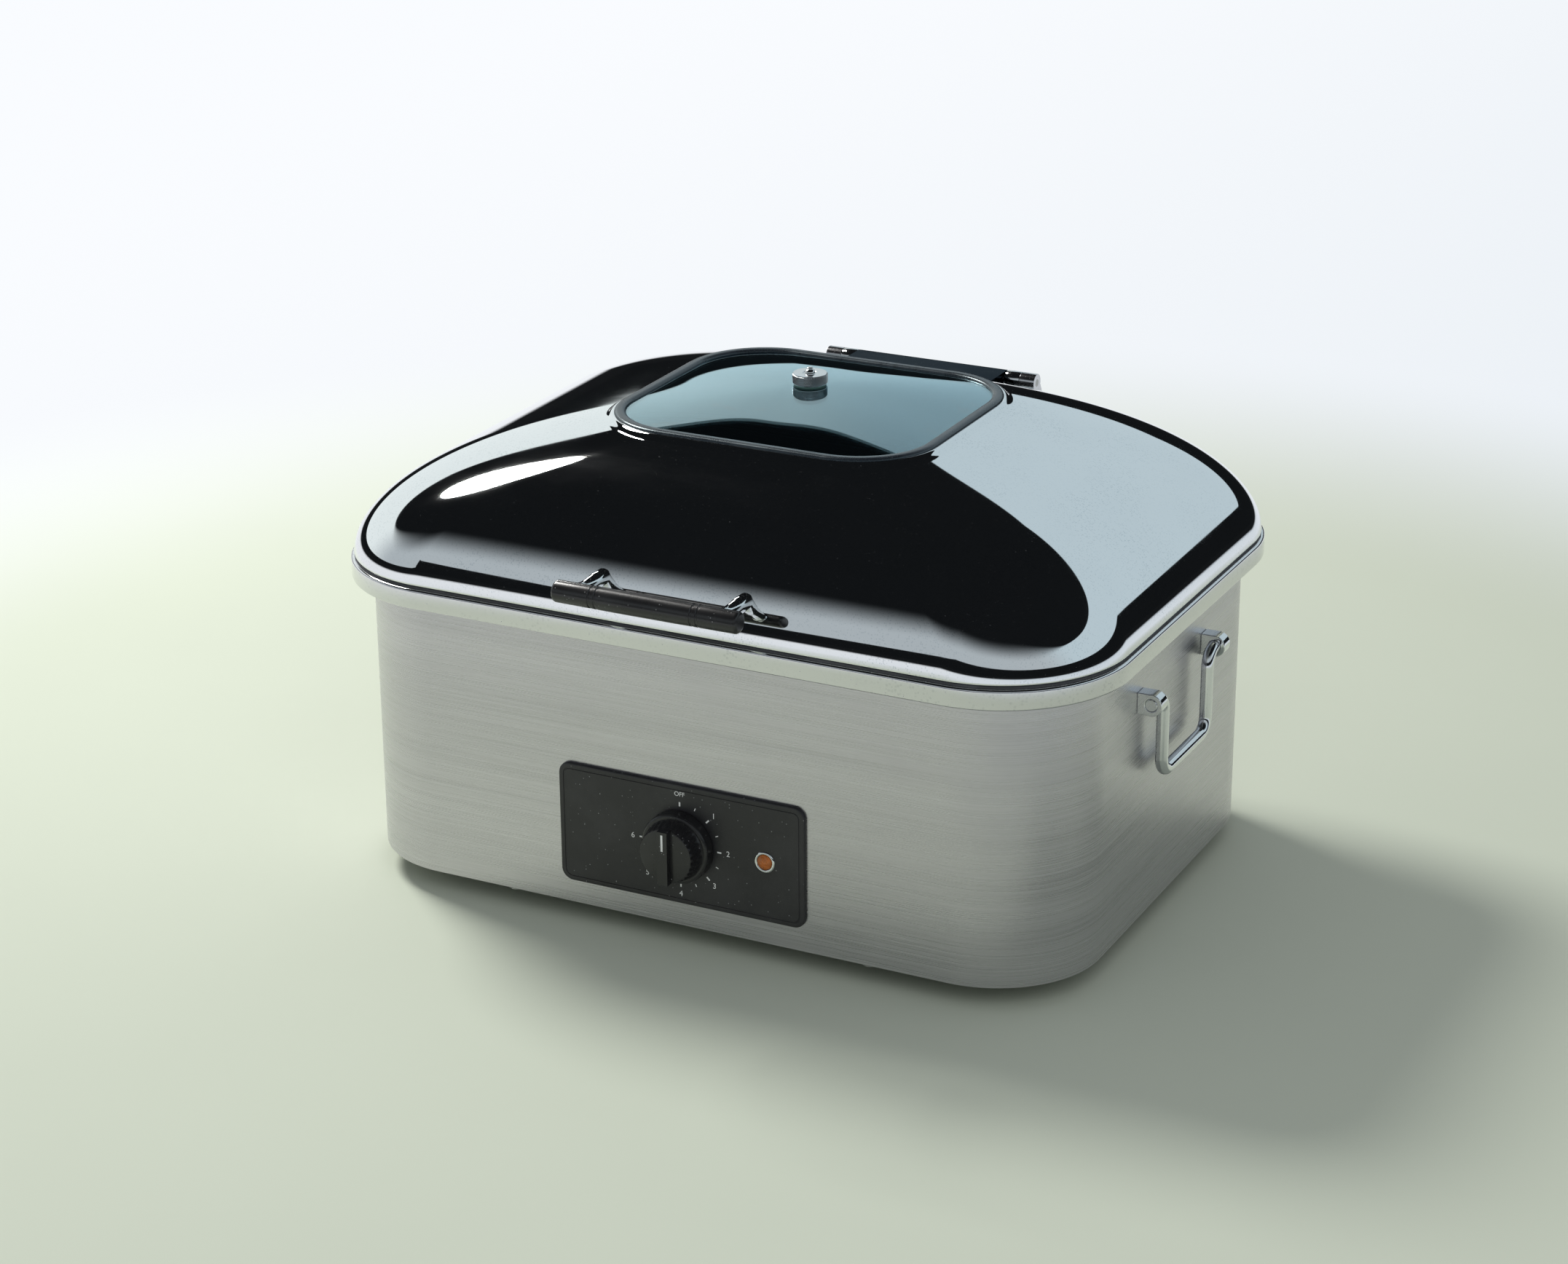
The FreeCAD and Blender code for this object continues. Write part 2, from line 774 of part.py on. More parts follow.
def inner_wires():
    inlet_back = rear_wall - inlet_depth
    live_x = inlet_x - inlet_pin_pitch
    neutral_x = inlet_x + inlet_pin_pitch
    tail_y = -element_half_depth - element_tail
    switch_x = switch_half - 2 * link_bend
    live = [
        Vector(live_x, inlet_back, wire_high),
        Vector(live_x, wire_turn_y, wire_high),
        Vector(switch_x, wire_turn_y, wire_high),
        Vector(switch_x, switch_back, wire_high),
    ]
    neutral = [
        Vector(neutral_x, inlet_back, wire_low),
        Vector(neutral_x, neutral_turn_y, wire_low),
        Vector(-element_gap, neutral_turn_y, wire_low),
        Vector(-element_gap, neutral_turn_y, element_z),
        Vector(-element_gap, tail_y, element_z),
    ]
    earth = [
        Vector(inlet_x, inlet_back, earth_height),
        Vector(inlet_x, inlet_back - earth_run, earth_height),
        Vector(inlet_x, inlet_back - earth_run, floor_top),
    ]
    link = [
        Vector(switch_half - link_bend, switch_back, panel_height),
        Vector(switch_half - link_bend, switch_back + link_lead, panel_height),
        Vector(element_gap, tail_y - link_tail, element_z),
        Vector(element_gap, tail_y, element_z),
    ]
    return {
        "wire_live": bent_tube(live, wire_radius, wire_bend),
        "wire_neutral": bent_tube(neutral, wire_radius, wire_bend),
        "wire_earth": bent_tube(earth, wire_radius, wire_bend),
        "wire_link": bent_tube(link, wire_radius, link_bend),
    }


def all_parts():
    pin = hinge_pin()
    bail = bail_handle()
    lugs = Part.makeCompound(bail_lugs())
    parts = {
        "housing_shell": housing_shell(),
        "base_plate": base_plate(),
        "floor_screws": Part.makeCompound(floor_screws()),
        "foot_screws": Part.makeCompound(foot_screws()),
        "top_rim": top_rim(),
        "rim_seal": rim_seal(),
        "heating_well": heating_well(),
        "insulation_blanket": insulation_blanket(),
        "cooking_pot": cooking_pot(),
        "heating_element": heating_element(),
        "element_clamps": Part.makeCompound(element_clamps()),
        "heat_shield": heat_shield(),
        "shield_standoffs": Part.makeCompound(shield_standoffs()),
        "thermal_fuse": thermal_fuse(),
        "control_panel": control_panel(),
        "control_knob": control_knob(),
        "control_shaft": control_shaft(),
        "rotary_switch": rotary_switch(),
        "switch_nut": switch_nut(),
        "pilot_lens": pilot_lens(),
        "lamp_holder": lamp_holder(),
        "bail_handle_right": bail,
        "bail_handle_left": mirrored_x(bail),
        "bail_lugs_right": lugs,
        "bail_lugs_left": mirrored_x(lugs),
        "power_inlet": power_inlet(),
        "inlet_pins": Part.makeCompound(inlet_pins()),
        "inlet_screws": Part.makeCompound(inlet_screws()),
        "lid_dome": lid_dome(),
        "window_gasket": window_gasket(),
        "window_glass": window_glass(),
        "lid_grip": lid_grip(),
        "lid_grip_posts": lid_grip_posts(),
        "hinge_leaf": hinge_leaf(),
        "hinge_bracket": hinge_bracket(),
        "bracket_screws": Part.makeCompound(bracket_screws()),
        "hinge_pin_right": pin,
        "hinge_pin_left": mirrored_x(pin),
    }
    names = ("foot_front_left", "foot_rear_left", "foot_front_right", "foot_rear_right")
    for name, place in zip(names, foot_places()):
        parts[name] = foot(place)
    parts.update(vent_parts())
    parts.update(inner_wires())
    return parts


os.makedirs("parts", exist_ok=True)
for node, shape in all_parts().items():
    moved = shape.translated(Vector(0, frame_shift, 0))
    moved.exportStep(f"parts/{node}.step")
    print(node, len(moved.Solids), moved.isValid(), round(moved.Volume / 1000, 2), "cm3")
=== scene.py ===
import bmesh
import bpy
from math import cos, pi, radians, sin, sqrt
from mathutils import Matrix, Vector


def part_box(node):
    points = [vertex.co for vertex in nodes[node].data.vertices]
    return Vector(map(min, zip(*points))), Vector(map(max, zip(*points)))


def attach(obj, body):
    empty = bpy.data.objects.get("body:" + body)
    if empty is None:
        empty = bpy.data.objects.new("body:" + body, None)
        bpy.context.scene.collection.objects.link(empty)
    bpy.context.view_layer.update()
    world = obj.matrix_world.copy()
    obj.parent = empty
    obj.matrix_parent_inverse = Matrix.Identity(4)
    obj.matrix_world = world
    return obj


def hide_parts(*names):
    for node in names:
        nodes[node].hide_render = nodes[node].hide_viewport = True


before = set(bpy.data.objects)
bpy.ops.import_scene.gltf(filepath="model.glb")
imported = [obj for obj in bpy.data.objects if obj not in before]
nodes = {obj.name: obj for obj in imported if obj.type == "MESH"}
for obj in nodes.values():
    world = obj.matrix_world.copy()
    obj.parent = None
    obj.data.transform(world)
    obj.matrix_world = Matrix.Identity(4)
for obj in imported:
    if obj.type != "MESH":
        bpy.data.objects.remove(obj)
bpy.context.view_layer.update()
lidMiddle = Vector((0, 0.012, 0))  # the lid, pot and housing are drawn about this line
mm = 0.001
white = (1.0, 1.0, 1.0)
print("frame loaded:", len(nodes), "solids")


def lengths(**given):  # written in millimetres, used in metres
    return {key: value * mm for key, value in given.items()}


def pick(group, words):
    return (group[word] for word in words.split())


# shader sockets with arithmetic, so a finish reads as a formula
class Wire:
    def __init__(self, tree, socket=None):
        self.tree = tree
        self.socket = socket

    def make(self, kind, ins=None, out=0, **settings):
        node = self.tree.nodes.new("ShaderNode" + kind)
        for key, value in settings.items():
            setattr(node, key, value)
        for key, value in (ins or {}).items():
            if isinstance(value, Wire):
                self.tree.links.new(value.socket, node.inputs[key])
            else:
                whole = isinstance(value, tuple) and len(node.inputs[key].default_value) == 4
                node.inputs[key].default_value = (*value, 1) if whole else value
        return Wire(self.tree, node.outputs[out])

    def side(self, name):
        return Wire(self.tree, self.socket.node.outputs[name])

    def maths(self, operation, first, second=0.0):
        return self.make("Math", {0: first, 1: second}, operation=operation)

    def __add__(self, other):
        return self.maths("ADD", self, other)

    def __sub__(self, other):
        return self.maths("SUBTRACT", self, other)

    def __rsub__(self, other):
        return self.maths("SUBTRACT", other, self)

    def __mul__(self, other):
        return self.maths("MULTIPLY", self, other)

    def __truediv__(self, other):
        return self.maths("DIVIDE", self, other)

    def __pow__(self, other):
        return self.maths("POWER", self, other)

    __radd__ = __add__
    __rmul__ = __mul__

    def ramp(self, low, high):
        return self.make("MapRange", {0: self, 1: low, 2: high}, interpolation_type="SMOOTHSTEP")

    def tint(self, first, second):
        return self.make("Mix", {0: self, 6: first, 7: second}, 2, data_type="RGBA")

    def stretched(self, scale):
        return self.make("VectorMath", {0: self, 1: scale}, operation="MULTIPLY")

    def grain(self, scale, detail=3, rough=0.5):
        ins = {"Vector": self, "Scale": scale, "Detail": detail, "Roughness": rough}
        return self.make("TexNoise", ins)

    def cells(self, scale, **settings):
        return self.make("TexVoronoi", {"Vector": self, "Scale": scale}, "Distance", **settings)

    def specks(self, scale, size, share):
        spots = self.cells(scale)
        chance = self.make("SeparateColor", {0: spots.side("Color")})
        return (1 - spots.ramp(size * 0.4, size)) * chance.ramp(1 - share, 1 - share + 0.02)

    def bump(self, strength, distance):
        return self.make("Bump", {"Height": self, "Strength": strength, "Distance": distance})

    def surface(self, ins):
        return self.make("BsdfPrincipled", ins)


def startTree(owner):
    owner.use_nodes = True
    owner.node_tree.nodes.clear()
    return Wire(owner.node_tree)


def endTree(owner, shader, kind):
    output = owner.node_tree.nodes.new("ShaderNodeOutput" + kind)
    owner.node_tree.links.new(shader.socket, output.inputs["Surface"])


def mixed(recipe, name, **look):
    finish = bpy.data.materials.new(name)
    wire = startTree(finish)
    endTree(finish, recipe(wire, wire.make("TexCoord", out="Object"), **look), "Material")
    return finish


def polished(wire, place, dust=0.04, dustTone=0.6, stain=0.3, edge=white, **look):
    wipe = place.stretched(look["wipe"]).grain(1, 4, 0.6).ramp(0.42, 0.75)
    haze = place.grain(look["hazeScale"]).ramp(0.52, 0.8)
    coarse = place.specks(look["dustScale"], 0.3, dust)
    fine = place.specks(look["dustScale"] * 2.7, 0.35, dust * 1.6)
    dirt = wire.maths("MAXIMUM", coarse, fine * 0.7)
    clump = place.grain(21, 4, 0.6).ramp(0.38, 0.68)
    spots = place.specks(look["dustScale"] * 0.9, 0.62, 0.34) * (clump * 0.8 + 0.2)
    drift = place.grain(5, 2).ramp(0.3, 0.7) * 0.16
    steel = (spots * stain + drift).tint(look["colour"], look["hazeColour"])
    dusty = (dirt * dustTone).tint(steel, (0.5, 0.52, 0.53))
    return wire.surface({
        "Base Color": (haze * 0.12).tint(dusty, look["hazeColour"]),
        "Metallic": 1 - dirt * 0.6,
        "Roughness": look["rough"] + wipe * look["wipeRough"] + haze * look["hazeRough"] + dirt * 0.3,
        "Normal": place.grain(look["swellScale"], 1).bump(look["swell"], 0.002),
        "Specular Tint": edge,
    })


def brushed(wire, place, **look):
    line = place.stretched(look["grain"]).grain(1, 4, 0.7)
    broad = place.stretched(look["broad"]).grain(1, 2)
    touch = place.grain(16).ramp(0.5, 0.8)
    shade = line.ramp(0.25, 0.75)
    return wire.surface({
        "Base Color": (shade * 0.55 + broad * 0.45).tint(look["dark"], look["light"]),
        "Metallic": 1.0,
        "Roughness": look["rough"] + shade * look["roughRange"] + touch * 0.05,
        "Normal": line.bump(look["relief"], 0.0004),
    })


def rubber(wire, place, sheen=white, **look):
    grain = place.grain(look["grainScale"], 4, 0.65)
    bloom = place.grain(34, 4, 0.6).ramp(0.4, 0.75)
    dust = place.specks(2300, 0.32, look["dust"]) * 0.5
    rubbed = bloom.tint(look["dark"], look["light"])
    return wire.surface({
        "Base Color": dust.tint(rubbed, (0.42, 0.45, 0.46)),
        "Roughness": look["rough"] + grain * 0.14 + bloom * 0.1,
        "Normal": grain.bump(look["relief"], 0.0003),
        "Specular IOR Level": look["specular"],
        "Specular Tint": sheen,
    })


def plastic(wire, place, **look):
    pebble = place.cells(look["pebble"], feature="SMOOTH_F1")
    drift = place.grain(22, 4, 0.6)
    dust = place.specks(700, 0.3, look["dust"])
    colour = drift.ramp(0.35, 0.7).tint(look["dark"], look["light"])
    return wire.surface({
        "Base Color": (dust * 0.6).tint(colour, (0.4, 0.41, 0.41)),
        "Roughness": look["rough"] + drift * 0.12 + dust * 0.2,
        "Normal": pebble.bump(look["relief"], 0.0002),
    })


def worn(wire, place, metal=0.0, **look):  # inner pieces: plain metal, fibre or sleeve with age
    grain = place.stretched(look["grain"]).grain(1, 5, 0.65)
    blotch = place.grain(look["blotch"], 4, 0.6).ramp(0.35, 0.7)
    return wire.surface({
        "Base Color": (blotch * 0.6 + grain * 0.4).tint(look["dark"], look["light"]),
        "Metallic": metal,
        "Roughness": look["rough"] + grain * 0.2,
        "Normal": grain.bump(look["relief"], 0.0005),
    })


def crownNormal(wire, place, look):  # a slumped pane: flat in the middle, turned down at the edge
    axes = wire.make("SeparateXYZ", {0: place})
    real = wire.make("NewGeometry", out="Normal")
    outward = wire.make("VectorTransform", {0: real}, vector_type="NORMAL")
    upper = wire.maths("GREATER_THAN", wire.make("SeparateXYZ", {0: outward}, "Z"), 0.0)
    beneath = (1 - upper) * (1 - real.side("Backfacing"))  # seen from below, the pane is rounder
    power = look["squareness"] - beneath * (look["squareness"] - look["underside"])
    ways = list(zip((axes, axes.side("Y") - look["middle"]), look["half"]))
    wide, deep = [wire.maths("ABSOLUTE", way) / half for way, half in ways]
    oval = (wide ** power + deep ** power) ** wire.maths("DIVIDE", 1.0, power)
    steep = wire.maths("MAXIMUM", oval, 0.01) ** (look["crown"] - power) * (look["rise"] * look["crown"])
    facing = upper * 2.0 - 1.0
    leanX, leanY = [steep * share ** (power - 1) * wire.maths("SIGN", way) / half * facing
                    for share, (way, half) in zip((wide, deep), ways)]
    bent = wire.make("CombineXYZ", {0: leanX, 1: leanY, 2: facing})
    return wire.make("VectorTransform", {0: bent}, vector_type="NORMAL", convert_from="OBJECT",
                     convert_to="WORLD")


def glass(wire, place, **look):
    smear = place.stretched(look["smear"]).grain(1, 4, 0.6).ramp(0.5, 0.85)
    dust = place.specks(1100, 0.26, look["dust"])
    fine = place.specks(2600, 0.3, look["dust"] * 2)
    normal = crownNormal(wire, place, look)
    pane = wire.surface({
        "Base Color": look["colour"],
        "Roughness": smear * look["smearRough"],
        "Normal": normal,
        "IOR": look["ior"],
        "Transmission Weight": 1.0,
        "Specular Tint": look["sheen"],
    })
    mirror = wire.make("BsdfAnisotropic", {"Color": look["sheen"], "Roughness": 0.004, "Normal": normal})
    slant = wire.make("Fresnel", {"IOR": look["ior"], "Normal": normal})
    coated = wire.make("MixShader", {0: slant * look["mirror"], 1: pane, 2: mirror})
    mote = wire.surface({"Base Color": (0.42, 0.46, 0.47), "Roughness": 0.8})
    dusty = wire.maths("MAXIMUM", dust, fine * 0.6) * 0.4
    return wire.make("MixShader", {0: dusty, 1: coated, 2: mote})


wiped = dict(wipe=(14, 600, 600), hazeScale=18, hazeRough=0.08, dustScale=600, stain=0.5, swellScale=12,
             swell=0.015)  # shared by the rim and the bracket
finishes = {
    "polished": mixed(polished, "polishedSteel",
        colour=(0.77, 0.785, 0.795), hazeColour=(0.6, 0.63, 0.65), rough=0.028, wipe=(9, 34, 12),
        wipeRough=0.02, hazeScale=13, hazeRough=0.03, dustScale=1000, dust=0.008, dustTone=0.4,
        stain=0.85, swellScale=7, swell=0.02),
    "chrome": mixed(polished, "turnedChrome",
        colour=(0.73, 0.745, 0.755), hazeColour=(0.55, 0.57, 0.58), rough=0.055, wipe=(60, 60, 900),
        wipeRough=0.06, hazeScale=60, hazeRough=0.05, dustScale=900, dust=0.05, swellScale=30, swell=0.01),
    "knurl": mixed(polished, "knurledChrome",
        colour=(0.62, 0.635, 0.645), hazeColour=(0.5, 0.52, 0.53), rough=0.09, wipe=(90, 90, 700),
        wipeRough=0.07, hazeScale=90, hazeRough=0.06, dustScale=1500, swellScale=40, swell=0.01),
    # painted reflection: the near-black leaf colour stands in for a dark wall mirrored in the steel; its
    # lighter haze patches are smudges that also carry a painted sheen
    "leaf": mixed(polished, "hingeSteelPaintedDarkReflection",
        colour=(0.018, 0.021, 0.024), hazeColour=(0.24, 0.25, 0.26), edge=(0.45, 0.47, 0.49), rough=0.14,
        wipe=(12, 60, 20), wipeRough=0.1, hazeScale=34, hazeRough=0.16, dustScale=1600, dust=0.02,
        dustTone=0.4, stain=0.1, swellScale=20, swell=0.02),
    "rim": mixed(polished, "polishedRim",
        colour=(0.71, 0.71, 0.725), hazeColour=(0.52, 0.53, 0.55), rough=0.09, wipeRough=0.08, **wiped),
    "bracket": mixed(polished, "bracketSteel",
        colour=(0.6, 0.6, 0.62), hazeColour=(0.44, 0.45, 0.47), rough=0.13, wipeRough=0.12, **wiped),
    "brushed": mixed(brushed, "brushedSteel",
        grain=(5, 5, 1500), broad=(3, 3, 90), dark=(0.44, 0.43, 0.455), light=(0.68, 0.665, 0.695),
        rough=0.22, roughRange=0.16, relief=0.16),
    "satin": mixed(brushed, "satinSteel",
        grain=(300, 300, 300), broad=(8, 8, 20), dark=(0.36, 0.365, 0.37), light=(0.5, 0.505, 0.51),
        rough=0.42, roughRange=0.1, relief=0.06),
    "gasket": mixed(rubber, "gasketRubber",
        dark=(0.014, 0.018, 0.024), light=(0.03, 0.037, 0.046), grainScale=1300, rough=0.2, dust=0.12,
        relief=0.1, specular=0.75, sheen=(0.74, 0.93, 1.0)),
    "seal": mixed(rubber, "sealRubber",
        dark=(0.05, 0.052, 0.056), light=(0.09, 0.094, 0.1), grainScale=700, rough=0.5, dust=0.05,
        relief=0.25, specular=0.4),
    "foot": mixed(rubber, "footRubber",
        dark=(0.016, 0.016, 0.017), light=(0.04, 0.04, 0.042), grainScale=600, rough=0.6, dust=0.1,
        relief=0.3, specular=0.35),
    "black": mixed(plastic, "blackPlastic",
        pebble=1300, dark=(0.014, 0.014, 0.016), light=(0.028, 0.028, 0.03), rough=0.33, relief=0.25,
        dust=0.05),
    "grip": mixed(plastic, "gripPlastic",
        pebble=700, dark=(0.011, 0.011, 0.012), light=(0.022, 0.022, 0.023), rough=0.22, relief=0.08,
        dust=0.06),
    "natural": mixed(plastic, "switchPlastic",
        pebble=900, dark=(0.52, 0.49, 0.42), light=(0.66, 0.63, 0.55), rough=0.4, relief=0.15, dust=0.04),
    "ink": mixed(plastic, "dialInk",
        pebble=2000, dark=(0.72, 0.73, 0.72), light=(0.84, 0.85, 0.84), rough=0.5, relief=0.05, dust=0.03),
    "washer": mixed(plastic, "paleWasher",
        pebble=1500, dark=(0.07, 0.15, 0.13), light=(0.13, 0.24, 0.21), rough=0.15, relief=0.05,
        dust=0.04),
    "steel": mixed(worn, "millSteel",
        grain=(160, 160, 160), blotch=26, dark=(0.36, 0.36, 0.36), light=(0.56, 0.56, 0.55), metal=1.0,
        rough=0.3, relief=0.08),
    "sheath": mixed(worn, "elementSheath",
        grain=(300, 300, 300), blotch=40, dark=(0.07, 0.065, 0.06), light=(0.2, 0.18, 0.16), metal=0.8,
        rough=0.45, relief=0.2),
    "coat": mixed(worn, "potCoat",
        grain=(1400, 1400, 1400), blotch=9, dark=(0.018, 0.018, 0.019), light=(0.04, 0.04, 0.042),
        rough=0.3, relief=0.15),
    "fibre": mixed(worn, "blanketFibre",
        grain=(500, 500, 120), blotch=30, dark=(0.55, 0.53, 0.47), light=(0.8, 0.79, 0.74),
        rough=0.75, relief=0.8),
    "brass": mixed(worn, "pinBrass",
        grain=(90, 700, 90), blotch=50, dark=(0.5, 0.38, 0.17), light=(0.75, 0.62, 0.34), metal=1.0,
        rough=0.2, relief=0.08),
}
sleeves = {"live": (0.2, 0.09, 0.045), "neutral": (0.05, 0.13, 0.42), "earth": (0.16, 0.42, 0.08),
           "link": (0.62, 0.61, 0.57)}
for sleeve, tone in sleeves.items():
    finishes[sleeve] = mixed(worn, "sleeve" + sleeve.capitalize(),
        grain=(900, 900, 900), blotch=60, dark=tuple(c * 0.8 for c in tone), light=tone,
        rough=0.4, relief=0.1)
print("finishes mixed:", len(finishes))


# mesh building: rounded outlines skinned into walls, turned profiles, rods and softened copies
plan = ("halfX", "halfY", "corner")
alongX = Matrix.Rotation(pi / 2, 4, "Y")
frontward = Matrix.Rotation(pi / 2, 4, "X")
rearward = Matrix.Rotation(-pi / 2, 4, "X")


def clamp(value):
    return min(1, max(0, value))


def outline(halfX, halfY, radius, z, arcSteps=36, sideSteps=16):
    cornerX, cornerY = halfX - radius, halfY - radius
    arcs = []
    for turn, (sx, sy) in enumerate(((1, 1), (-1, 1), (-1, -1), (1, -1))):
        middle = Vector((sx * cornerX, sy * cornerY, z))
        angles = [pi / 2 * (turn + step / arcSteps) for step in range(arcSteps + 1)]
        arcs.append([middle + spun(radius, a, 0) for a in angles])
    points = []
    for arc, following in zip(arcs, arcs[1:] + arcs[:1]):
        points += arc
        points += [arc[-1].lerp(following[0], step / sideSteps) for step in range(1, sideSteps)]
    return points


def grown(shape, offset, z, arcSteps=36):
    return outline(*(shape[key] + offset for key in plan), z, arcSteps)


def spun(reach, angle, height):
    return Vector((reach * cos(angle), reach * sin(angle), height))


def skin(bm, loops, closed=False, capped=False, second=None):
    rings = [[bm.verts.new(p) for p in loop] for loop in loops]
    pairs = list(zip(rings, rings[1:])) + ([(rings[-1], rings[0])] if closed else [])
    for row, (lower, upper) in enumerate(pairs):
        for k in range(len(lower)):
            n = (k + 1) % len(lower)
            face = bm.faces.new((lower[k], lower[n], upper[n], upper[k]))
            face.material_index = 1 if second and row >= second else 0
    if capped:
        bm.faces.new(list(reversed(rings[0])))
        bm.faces.new(rings[-1])


def turned(bm, profile, steps=72, place=Matrix.Identity(4), radiusAt=None):
    turns = [2 * pi * step / steps for step in range(steps)]
    loops = [[place @ spun(radiusAt(a, r, h) if radiusAt else r, a, h) for a in turns] for r, h in profile]
    skin(bm, loops, closed=profile[0] == profile[-1])


def arcPoints(centre, radius, start, end, steps=6, rise=None):
    angles = [radians(start + (end - start) * k / steps) for k in range(steps + 1)]
    return [(centre[0] + radius * cos(a), centre[1] + (rise or radius) * sin(a)) for a in angles]


def rod(bm, path, radii, steps):
    loops = []
    for k, (point, radius) in enumerate(zip(path, radii)):
        before, after = path[max(k - 1, 0)], path[min(k + 1, len(path) - 1)]
        along = (after - before).normalized()
        side = Vector((1, 0, 0)) if abs(along.x) < 0.5 else Vector((0, 0, 1))
        up = along.cross(side).normalized()
        side = up.cross(along)
        turn = [2 * pi * s / steps for s in range(steps)]
        loops.append([point + side * (radius * cos(a)) + up * (radius * sin(a)) for a in turn])
    skin(bm, loops, capped=True)


def block(bm, low, high):
    (left, front, base), (right, rear, top) = low, high
    corners = (left, front), (right, front), (right, rear), (left, rear)
    skin(bm, [[Vector((*corner, z)) for corner in corners] for z in (base, top)], capped=True)


def softEdges(bm, width, angle=35, segments=2):
    sharp = [e for e in bm.edges if len(e.link_faces) == 2 and e.calc_face_angle(0) > radians(angle)]
    bmesh.ops.bevel(bm, geom=sharp, offset=width, segments=segments, profile=0.6, affect="EDGES",
                    clamp_overlap=True)


def meshOf(name, bm):
    mesh = bpy.data.meshes.new(name)
    bm.to_mesh(mesh)
    bm.free()
    return mesh


def linked(name, data):
    thing = bpy.data.objects.new(name, data)
    bpy.context.scene.collection.objects.link(thing)
    return thing


def settled(thing):  # the mesh with its modifiers or text worked out
    bpy.context.view_layer.update()
    return bpy.data.meshes.new_from_object(thing.evaluated_get(bpy.context.evaluated_depsgraph_get()))


def addPiece(name, bm, finish, body, stands=(), smooth=38, moved=True, inner=None):
    bmesh.ops.remove_doubles(bm, verts=bm.verts, dist=1e-7)
    if moved:
        bmesh.ops.translate(bm, verts=bm.verts, vec=lidMiddle)
    bmesh.ops.recalc_face_normals(bm, faces=bm.faces)
    mesh = meshOf(name, bm)
    for polygon in mesh.polygons:
        polygon.use_smooth = True
    mesh.set_sharp_from_angle(angle=radians(smooth))
    piece = linked(name, mesh)
    for each in [finish] + ([inner] if inner else []):
        mesh.materials.append(finishes[each])
    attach(piece, body)
    if stands:
        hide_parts(*stands)
    return piece


def softCopy(node, finish, body, width):
    bm = bmesh.new()
    bm.from_mesh(nodes[node].data)
    bmesh.ops.remove_doubles(bm, verts=bm.verts, dist=2e-6)
    bmesh.ops.dissolve_limit(bm, angle_limit=radians(0.8), verts=bm.verts, edges=bm.edges)
    softEdges(bm, width)
    piece = addPiece("soft_" + node, bm, finish, body, [node], moved=False)
    flat = piece.modifiers.new("flatFaces", "WEIGHTED_NORMAL")  # broad faces stay flat between eased edges
    flat.keep_sharp = True


def cutAway(piece, low, high):  # opens a square hole through a piece
    bm = bmesh.new()
    block(bm, low, high)
    cutter = linked("cutter", meshOf("cutter", bm))
    tool = piece.modifiers.new("cut", "BOOLEAN")
    tool.object, tool.operation, tool.solver = cutter, "DIFFERENCE", "EXACT"
    result = settled(piece)
    piece.modifiers.clear()
    piece.data = result
    bpy.data.objects.remove(cutter)


# lid: polished dome, rubber gasket, crowned glass
lid = lengths(halfX=260, halfY=190, corner=82, drop=86, sheet=1, low=214.5, bead=2.4, beadHeight=3)
lid.update(slope=0.4, levels=60, arcSteps=72, fineStep=0.0042, spread=1.9)
window = lengths(halfX=108.8, halfY=97.6, corner=53, collar=3.8, collarHeight=3, collarFlat=1, collarRun=5,
                 gasket=7.5, lip=1.8, seat=3.5, grip=2, pane=4, hole=3.2)
window.update(flat=0.12, squareness=3.1, crown=1.7, hub=0.04, rim=0.14)
domeTop = lid["low"] + lid["drop"]
domeLean = lid["slope"] * lid["drop"] / (lid["halfX"] - window["halfX"] - window["collar"])
collarTop = domeTop + window["collarHeight"]
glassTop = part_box("window_glass")[1].z
paneUnder = collarTop - window["pane"]
paneX, paneY = window["halfX"] - window["gasket"], window["halfY"] - window["gasket"]
paneHold = window["grip"] - window["gasket"]
finishes["glass"] = mixed(glass, "windowGlass",
    colour=(0.42, 0.52, 0.55), rise=8.05 * mm, crown=1.708, squareness=window["squareness"],
    underside=2.0, half=(paneX, paneY), middle=lidMiddle.y, mirror=1.2, smear=(14, 50, 20),
    smearRough=0.012, ior=1.5, sheen=(0.72, 0.93, 1.0), dust=0.008)


def windowLoop(offset, z):
    return grown(window, offset, z, lid["arcSteps"])


def collarRise(offset):  # the raised collar melts into the dome
    peak = window["collarHeight"] - domeLean * (window["collar"] - window["collarFlat"])
    return peak * (0.5 + 0.5 * cos(pi * clamp((offset - window["collarFlat"]) / window["collarRun"])))


def domeLoop(share, inset):
    tops = [window[key] + window["collar"] for key in plan]
    fall = lid["slope"] * share + (1 - lid["slope"]) * (1 - sqrt(max(0, 1 - share ** 3)))
    rise = collarRise(window["collar"] + (lid["halfX"] - tops[0]) * share) if inset == 0 else 0
    z = max(domeTop - lid["drop"] * fall + rise - inset, lid["low"] + lid["bead"] / 2)
    sides = [top + (lid[key] - top) * share - inset for key, top in zip(plan, tops)]
    return outline(*sides, z, lid["arcSteps"])


